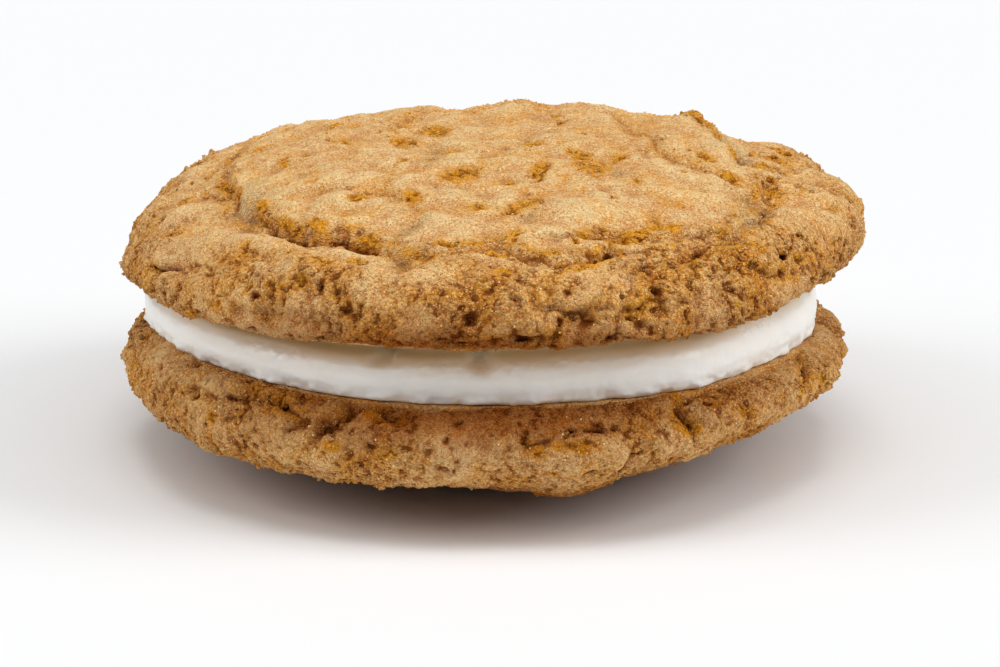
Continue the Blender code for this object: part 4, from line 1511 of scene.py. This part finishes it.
TOP_COOKIE = Cookie(
    name="upper_cookie",
    facing=Facing.UP,
    cut=(
        (0.0, 0.0148), (0.0120, 0.0147), (0.0230, 0.0138), (0.0310, 0.0119), (0.0355, 0.0100),
        (0.0385, 0.0096), (0.0415, 0.0086), (0.0440, 0.0064), (0.0450, 0.0034), (0.0440, 0.0012),
        (0.0415, 0.0002), (0.0395, 0.0), (0.0360, 0.0), (0.0280, 0.0), (0.0, 0.0),
    ),
    centre=(0.0, 0.0),
    flat=0.0227,
    lean=0.9,
    swells=(
        Swell(188, 0.048, 24, 0.012, -0.0014, 0.0),
        Swell(185, 0.046, 28, 0.006, 0.0, -0.0022),
        Swell(332, 0.050, 13, 0.010, -0.0013, 0.0),
        Swell(232, 0.052, 14, 0.005, 0.0, -0.0006),
        Swell(304, 0.0505, 15, 0.005, 0.0, -0.0020),
        Swell(20, 0.042, 15, 0.012, -0.0008, -0.0008),
        Swell(128, 0.037, 20, 0.010, 0.0, 0.0007),
        Swell(106, 0.031, 12, 0.008, 0.0, -0.0008),
        Swell(352, 0.047, 18, 0.006, 0.0, 0.0004),
        Swell(266, 0.0495, 24, 0.005, 0.0002, -0.0005),
    ),
    cracks=(
        # The crease that parts the rim from the crown, from the left round the front to the right
        Crack(((186, 0.0320), (200, 0.0331), (214, 0.0351), (221, 0.0346)), 0.0012, 0.0010, 0.0003),
        Crack(((221, 0.0346), (234, 0.0369), (248, 0.0362)), 0.0014, 0.0015, 0.0004),
        Crack(((246, 0.0364), (253, 0.0384), (258, 0.0402)), 0.0013, 0.0015, 0.0003),
        Crack(((260, 0.0385), (271, 0.0369), (280, 0.0408), (290, 0.0402)), 0.0011, 0.0016, 0.0008),
        Crack(((289, 0.0362), (299, 0.0370), (308, 0.0385)), 0.0012, 0.0018, 0.0010),
        Crack(
            ((300, 0.0416), (306, 0.0410), (318, 0.0395), (329, 0.0380), (339, 0.0348)),
            0.0014,
            0.0018,
            0.0006,
        ),
        # The same crease round the back
        Crack(((58, 0.0340), (82, 0.0356), (104, 0.0346), (128, 0.0358)), 0.0014, 0.0013),
        Crack(((132, 0.0345), (152, 0.0332), (176, 0.0340)), 0.0013, 0.0012),
        # The fold at the right, where the crown stands over the rim
        Crack(
            (
                (-3, 0.0440), (2, 0.0385), (-5, 0.0358), (-11, 0.0325),
                (-4, 0.0300), (10, 0.0292), (22, 0.0298),
            ),
            0.0015,
            0.0026,
            0.0016,
        ),
        Crack(((30, 0.0312), (16, 0.0304), (2, 0.0299), (-8, 0.0308), (-14, 0.0325)), 0.0008, 0.0036),
        # Cracks across the crown
        Crack(((38, 0.0200), (10, 0.0178), (-20, 0.0215), (-26, 0.0275)), 0.0010, 0.0007, 0.0004),
        Crack(((228, 0.0271), (244, 0.0250), (255, 0.0297)), 0.0012, 0.0005),
        Crack(((150, 0.0120), (118, 0.0190), (96, 0.0180), (74, 0.0230)), 0.0012, 0.0007, 0.0003),
        # Fissures and notches in the rim's face
        Crack(((277, 0.0459), (284, 0.0468), (296, 0.0465)), 0.0009, 0.0016, 0.0004),
        Crack(((262, 0.0501), (270, 0.0503), (279, 0.0496)), 0.0009, 0.0012),
        Crack(((206, 0.0459), (216, 0.0454), (225, 0.0447)), 0.0010, 0.0013, 0.0003),
        Crack(((209, 0.0465), (210, 0.0493), (210, 0.0512)), 0.0008, 0.0016),
        Crack(((231, 0.0480), (238, 0.0483), (245, 0.0486)), 0.0009, 0.0010),
        Crack(((248, 0.0445), (250, 0.0459), (252, 0.0472)), 0.0008, 0.0012),
        Crack(((315, 0.0460), (322, 0.0470), (331, 0.0462)), 0.0009, 0.0011),
        Crack(((60, 0.0462), (71, 0.0455), (80, 0.0470)), 0.0010, 0.0014),
        Crack(((101, 0.0440), (104, 0.0465), (102, 0.0495)), 0.0009, 0.0014),
        Crack(((140, 0.0470), (153, 0.0462), (167, 0.0472)), 0.0010, 0.0012),
    ),
    lumps=(
        # The crown's high back edge, and the loose flake that stands on it
        Lump((70, 0.0230), 0.0090, 0.0003),
        Lump((31, 0.0310), 0.0026, 0.0018),
        Lump((26, 0.0375), 0.0065, 0.0009),
        # Swellings of the rim
        Lump((196, 0.0400), 0.0045, 0.0006),
        Lump((240, 0.0420), 0.0040, 0.0008),
        Lump((252, 0.0425), 0.0030, 0.0006),
        Lump((15, 0.0400), 0.0060, 0.0009),
        Lump((346, 0.0425), 0.0055, 0.0008),
    ),
    seed=1.0,
    crumbling=Crumbling(rim_from=0.0375, rim_full=0.0440, seed=11),
    gouges=(
        # On the crown
        *gouges(
            Tone.GOLD,
            (260, 17.4, 2.6, 1.5, -50, 0.55), (242, 9.7, 1.4, 1.2, -22, 0.30),
            (189, 10.0, 2.2, 1.4, -20, 0.25), (153, 7.1, 2.6, 1.5, -41, 0.25),
            (290, 17.4, 2.6, 1.0, -63, 0.50), (318, 14.1, 1.8, 1.2, 115, 0.30),
            (309, 18.9, 3.2, 1.9, 114, 0.45), (278, 28.3, 2.9, 1.2, -37, 0.40),
            (314, 7.8, 1.2, 1.8, 46, 0.20), (238, 27.6, 1.0, 1.0, -13, 0.40),
            (251, 25.9, 1.8, 0.8, 61, 0.30), (268, 28.3, 1.0, 0.8, 0, 0.20),
            (334, 31.4, 2.0, 0.9, 115, 0.40), (341, 27.1, 1.8, 0.9, 139, 0.35),
        ),
        *gouges(
            Tone.HOLLOW_SHADE,
            (236, 10.9, 3.2, 1.1, -123, 0.30), (311, 22.3, 1.3, 1.2, 28, 0.20),
            (279, 30.7, 1.2, 0.6, -41, 0.25),
        ),
        *gouges(
            Tone.DARK,
            (286, 20.6, 0.9, 0.7, -44, 0.45), (334, 20.3, 1.7, 0.6, 143, 0.50),
            (300, 26.8, 1.1, 0.5, 91, 0.20),
        ),
        *gouges(
            Tone.SKIN,
            (286, 30.7, 2.6, 2.2, -9, -0.40), (281, 35.0, 1.6, 1.2, -44, -0.45),
            (260, 31.7, 2.4, 1.9, -38, -0.35),
        ),
        # The torn hollow in front of the flake, and the fold's golden edge beside it
        *gouges(
            Tone.GOLD,
            (32, 30.6, 3.2, 2.4, 10, 0.10), (355, 33.2, 3.0, 1.0, 0, -0.30), (10, 36.5, 3.0, 0.8, 90, 0.20),
            (352, 29.7, 3.0, 1.0, 162, 0.30),
        ),
        *gouges(
            Tone.DARK,
            (27, 28.7, 1.5, 0.7, 10, 0.40), (12, 30.9, 4.0, 0.6, 0, 0.50), (4, 31.0, 2.6, 0.7, 10, 0.50),
        ),
        *gouges(
            Tone.HOLLOW_SHADE,
            (20, 31.4, 4.5, 1.2, 0, 1.00), (5, 30.8, 5.0, 1.4, 0, 1.20), (352, 31.6, 3.4, 1.4, 0, 1.00),
        ),
        # The hollows between crown and rim, from the left to the right
        *gouges(
            Tone.GOLD,
            (194, 33.1, 2.4, 0.7, -10, 0.35), (218, 33.3, 0.9, 0.9, 0, -0.50),
            (229, 34.9, 2.0, 0.7, 10, 0.10), (237, 34.8, 1.6, 0.7, 12, -0.20),
            (249, 35.8, 1.4, 0.6, 15, -0.20), (272, 38.4, 1.8, 0.6, 10, 0.50),
            (284, 41.8, 1.8, 0.4, 0, 0.30), (296, 36.5, 2.8, 0.8, -11, 0.25),
            (338, 36.2, 1.9, 0.9, 95, 0.20),
        ),
        *gouges(
            Tone.HOLLOW_SHADE,
            (214, 33.8, 3.6, 1.7, 33, 0.50), (220, 36.5, 1.2, 0.6, 52, 0.50),
            (256, 39.6, 2.2, 0.9, -94, 0.70), (255, 33.8, 2.7, 0.7, -65, 0.30),
            (328, 36.5, 2.1, 1.8, 109, 0.50), (320, 39.4, 2.2, 1.3, -10, 0.30),
        ),
        *gouges(
            Tone.DARK,
            (208, 33.6, 1.9, 0.45, 28, 0.50), (231, 36.3, 1.9, 0.7, 14, 0.70),
            (237, 37.6, 1.9, 0.9, 18, 0.80), (257, 41.0, 1.0, 0.5, -94, 0.50),
            (277, 39.8, 1.4, 0.6, 30, 0.50), (286, 40.3, 1.1, 0.6, -9, 0.50),
            (304, 41.1, 1.0, 0.6, -26, 0.90), (302, 41.8, 0.8, 0.4, 0, 0.50),
        ),
        # The rim, from the left to the right
        *gouges(
            Tone.SKIN,
            (212, 44.5, 6.5, 2.6, 0, -0.10), (197, 41.0, 4.5, 3.0, 0, -0.10),
            (340, 43.5, 7.0, 3.0, 0, -0.10), (2, 45.0, 6.0, 3.0, 0, -0.10), (262, 42.3, 4.0, 1.2, 0, -0.15),
            (237, 49.5, 6.0, 1.6, 0, 0.00), (231, 39.1, 3.2, 1.5, 17, -0.30),
            (248, 39.1, 2.8, 1.3, 1, -0.30), (236, 42.9, 2.7, 0.9, -2, -0.35),
            (237, 47.8, 4.0, 0.5, -5, 0.50), (278, 46.1, 1.3, 0.5, -8, -0.20),
            (290, 43.9, 1.4, 0.8, 4, -0.15),
        ),
        *gouges(
            Tone.GOLD,
            (205, 42.0, 2.6, 0.8, -17, 0.25), (207, 46.8, 1.9, 1.4, -26, -0.30),
            (218, 47.6, 1.3, 0.4, 60, 0.25), (228, 41.1, 1.6, 0.5, 60, 0.40),
            (238, 41.3, 0.7, 0.6, -9, 0.30), (244, 41.5, 1.1, 0.6, -7, 0.20),
            (242, 44.2, 1.0, 0.7, -29, 0.20), (308, 44.2, 0.8, 0.4, -6, 0.35),
            (314, 44.4, 0.8, 0.3, 31, 0.40), (316, 42.7, 1.3, 0.7, 39, 0.15),
            (320, 45.1, 0.8, 0.3, 11, 0.40), (324, 46.1, 0.8, 0.5, 79, 0.40),
        ),
        *gouges(
            Tone.DARK,
            (210, 48.5, 1.7, 0.5, 80, 0.60), (218, 44.4, 2.4, 0.5, -5, 0.45),
            (223, 44.2, 0.9, 0.4, 9, 0.40), (240, 46.1, 0.30, 1.0, 0, 0.60),
            (238, 45.6, 0.30, 0.8, -30, 0.50), (248, 45.1, 1.4, 0.3, 60, 0.50),
            (250, 46.6, 0.7, 0.6, 0, 0.90), (252, 46.3, 0.7, 0.3, 20, 0.50),
            (268, 47.3, 0.9, 0.5, -30, 0.80), (266, 49.2, 1.0, 0.4, 0, 0.60),
            (271, 50.2, 1.1, 0.5, 0, 0.50), (275, 49.5, 1.7, 0.5, 5, 0.60), (284, 47.4, 0.8, 1.3, 20, 0.45),
            (292, 48.3, 0.8, 0.4, 40, 0.60), (295, 45.1, 0.9, 0.7, 26, 0.70),
            (307, 45.9, 0.8, 0.5, 8, 0.70), (308, 46.8, 0.9, 0.3, 9, 0.40), (316, 45.6, 0.9, 0.5, 27, 0.70),
        ),
    ),
)

BOTTOM_COOKIE = Cookie(
    name="lower_cookie",
    facing=Facing.DOWN,
    cut=(
        (0.0, 0.0172), (0.0120, 0.0164), (0.0230, 0.0142), (0.0310, 0.0118), (0.0365, 0.0100),
        (0.0408, 0.0080), (0.0434, 0.0058), (0.0441, 0.0036), (0.0433, 0.0014), (0.0415, 0.0002),
        (0.0395, 0.0), (0.0360, 0.0), (0.0280, 0.0), (0.0, 0.0),
    ),
    centre=(-0.0004, 0.0),
    flat=0.0154,
    lean=-0.5,
    swells=(
        Swell(182, 0.048, 28, 0.005, -0.0005, -0.0010),
        Swell(182, 0.057, 28, 0.004, -0.0014, 0.0),
        Swell(350, 0.057, 24, 0.004, 0.0005, 0.0008),
        Swell(345, 0.046, 24, 0.005, -0.0006, 0.0006),
        Swell(320, 0.040, 24, 0.009, 0.0, 0.0014),
        Swell(228, 0.040, 24, 0.009, 0.0, -0.0008),
    ),
    cracks=(
        Crack(((219, 0.0505), (224, 0.0504), (231, 0.0520), (242, 0.0507)), 0.0009, 0.0022, 0.0004),
        Crack(((251, 0.0540), (248, 0.0512), (245, 0.0497)), 0.0012, 0.0034),
        Crack(((253, 0.0530), (258, 0.0528), (264, 0.0548)), 0.0010, 0.0022),
        Crack(((336, 0.0550), (333, 0.0522), (329, 0.0497), (325, 0.0481)), 0.0009, 0.0028, 0.0003),
        Crack(((308, 0.0553), (302, 0.0526), (300, 0.0504), (301, 0.0484)), 0.0009, 0.0024),
        Crack(((276, 0.0490), (284, 0.0498), (292, 0.0490)), 0.0009, 0.0009),
        Crack(((20, 0.0500), (34, 0.0486), (46, 0.0502)), 0.0010, 0.0013),
        Crack(((70, 0.0530), (74, 0.0500), (71, 0.0470)), 0.0010, 0.0015),
        Crack(((100, 0.0490), (118, 0.0478), (132, 0.0490)), 0.0010, 0.0012),
        Crack(((160, 0.0535), (163, 0.0505), (168, 0.0480)), 0.0010, 0.0014),
        Crack(((182, 0.0500), (194, 0.0488), (206, 0.0494)), 0.0010, 0.0010),
        # Cracks round the crown that it stands on
        Crack(((30, 0.0330), (62, 0.0345), (95, 0.0330)), 0.0014, 0.0013),
        Crack(((120, 0.0350), (150, 0.0330), (178, 0.0345)), 0.0014, 0.0012),
        Crack(((205, 0.0360), (238, 0.0345), (262, 0.0360)), 0.0014, 0.0010),
        Crack(((290, 0.0350), (318, 0.0335), (350, 0.0350)), 0.0014, 0.0012),
    ),
    lumps=(
        Lump((285, 0.0370), 0.0060, 0.0013),
        Lump((285, 0.0432), 0.0035, 0.0006),
        Lump((262, 0.0440), 0.0040, 0.0005),
        Lump((300, 0.0440), 0.0030, 0.0005),
        Lump((225, 0.0470), 0.0035, 0.0005),
        Lump((20, 0.0430), 0.0050, 0.0006),
        Lump((110, 0.0440), 0.0050, 0.0006),
    ),
    seed=20.0,
    crumbling=Crumbling(rim_from=0.0300, rim_full=0.0400, seed=23),
    gouges=(
        *gouges(
            Tone.SKIN,
            (205, 52.5, 6.5, 2.6, 0, -0.10), (268, 49.0, 5.0, 3.0, 0, 0.00), (345, 54.0, 6.0, 3.0, 0, 0.00),
            (222, 51.5, 4.4, 1.6, 2, -0.25),
        ),
        *gouges(
            Tone.GOLD,
            (193, 51.8, 1.1, 0.9, 61, 0.30), (250, 51.8, 1.2, 0.5, 44, 0.50),
            (248, 48.0, 1.0, 0.8, 6, -0.40), (253, 52.0, 0.8, 0.8, 8, -0.50),
            (256, 51.3, 2.2, 0.6, 1, 0.70), (283, 48.2, 2.2, 0.6, -3, 0.20),
            (302, 54.6, 0.8, 1.1, -30, -0.30), (301, 48.7, 1.3, 0.8, -8, 0.20),
            (312, 48.5, 1.6, 0.6, -11, 0.20),
        ),
        *gouges(
            Tone.DARK,
            (212, 51.0, 0.7, 0.3, 59, 0.40), (231, 50.8, 0.8, 0.4, 11, 0.50),
            (242, 49.4, 0.9, 0.6, 8, 0.50), (245, 48.7, 1.2, 0.6, 63, 0.80),
            (248, 50.1, 1.5, 0.8, 47, 0.80), (257, 51.0, 1.3, 0.4, 1, 0.50), (264, 46.1, 0.6, 0.5, 2, 0.80),
            (291, 48.9, 0.5, 0.6, -6, 0.50), (296, 48.5, 0.7, 0.3, -7, 0.50),
            (285, 48.2, 0.9, 0.3, -4, 0.50), (279, 48.7, 0.5, 0.3, -2, 0.40),
            (287, 51.0, 0.8, 0.3, -6, 0.35), (308, 55.8, 1.5, 1.3, -19, 0.80),
        ),
    ),
    crown_share=0.35,
    crown_shade=0.9,
    covered=0.0385,
)


# The loose grains: name, shape, width, unevenness, how many on a square metre, where, and the seed's shift
GRAINS = (
    ("sugar", Shape.CRYSTAL, 0.00018, 0.35, 0.55e6, "sugar", 0),
    ("grit", Shape.GRIT, 0.00032, 0.35, 1.4e6, "grit", 10),
    ("crumbs", Shape.CRUMB, 0.00070, 0.40, 0.35e6, "loose", 20),
)


def main() -> None:
    """Builds the studio, the cookies, the cream and the grains, hides the model's parts that they take the
    place of, and hangs every piece under one root.
    """
    logging.basicConfig(level=logging.INFO, format="%(message)s")
    noise.seed_set(NOISE_SEED)
    Studio().build()
    sandy, mottle = sandy_group(), mottle_group()
    crystal = GrainFinish("sugar", (0.98, 0.69, 0.31), (0.80, 0.39, 0.10), 0.60).build()
    for cookie, node, seed in ((TOP_COOKIE, "top_cookie", 100), (BOTTOM_COOKIE, "bottom_cookie", 200)):
        finish = CrustFinish(cookie.name + "_crust").build(sandy, mottle)
        pieces = cookie.build(finish)
        for piece in pieces:
            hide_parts(node)
        for kind, *sizes, more in GRAINS:
            scatter = Scatter(f"{cookie.name}_{kind}", *sizes, seed + more)
            pieces.append(scatter.build(cookie, crystal if scatter.shape is Shape.CRYSTAL else finish))
        bpy.data.objects.remove(cookie.bed)
        for piece in pieces:
            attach(piece, "root")
    cream = CreamFilling(BOTTOM_COOKIE, TOP_COOKIE).build(CreamFinish().build(sandy, mottle))
    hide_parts("cream_filling")
    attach(cream, "root")


if __name__ == "__main__":
    main()
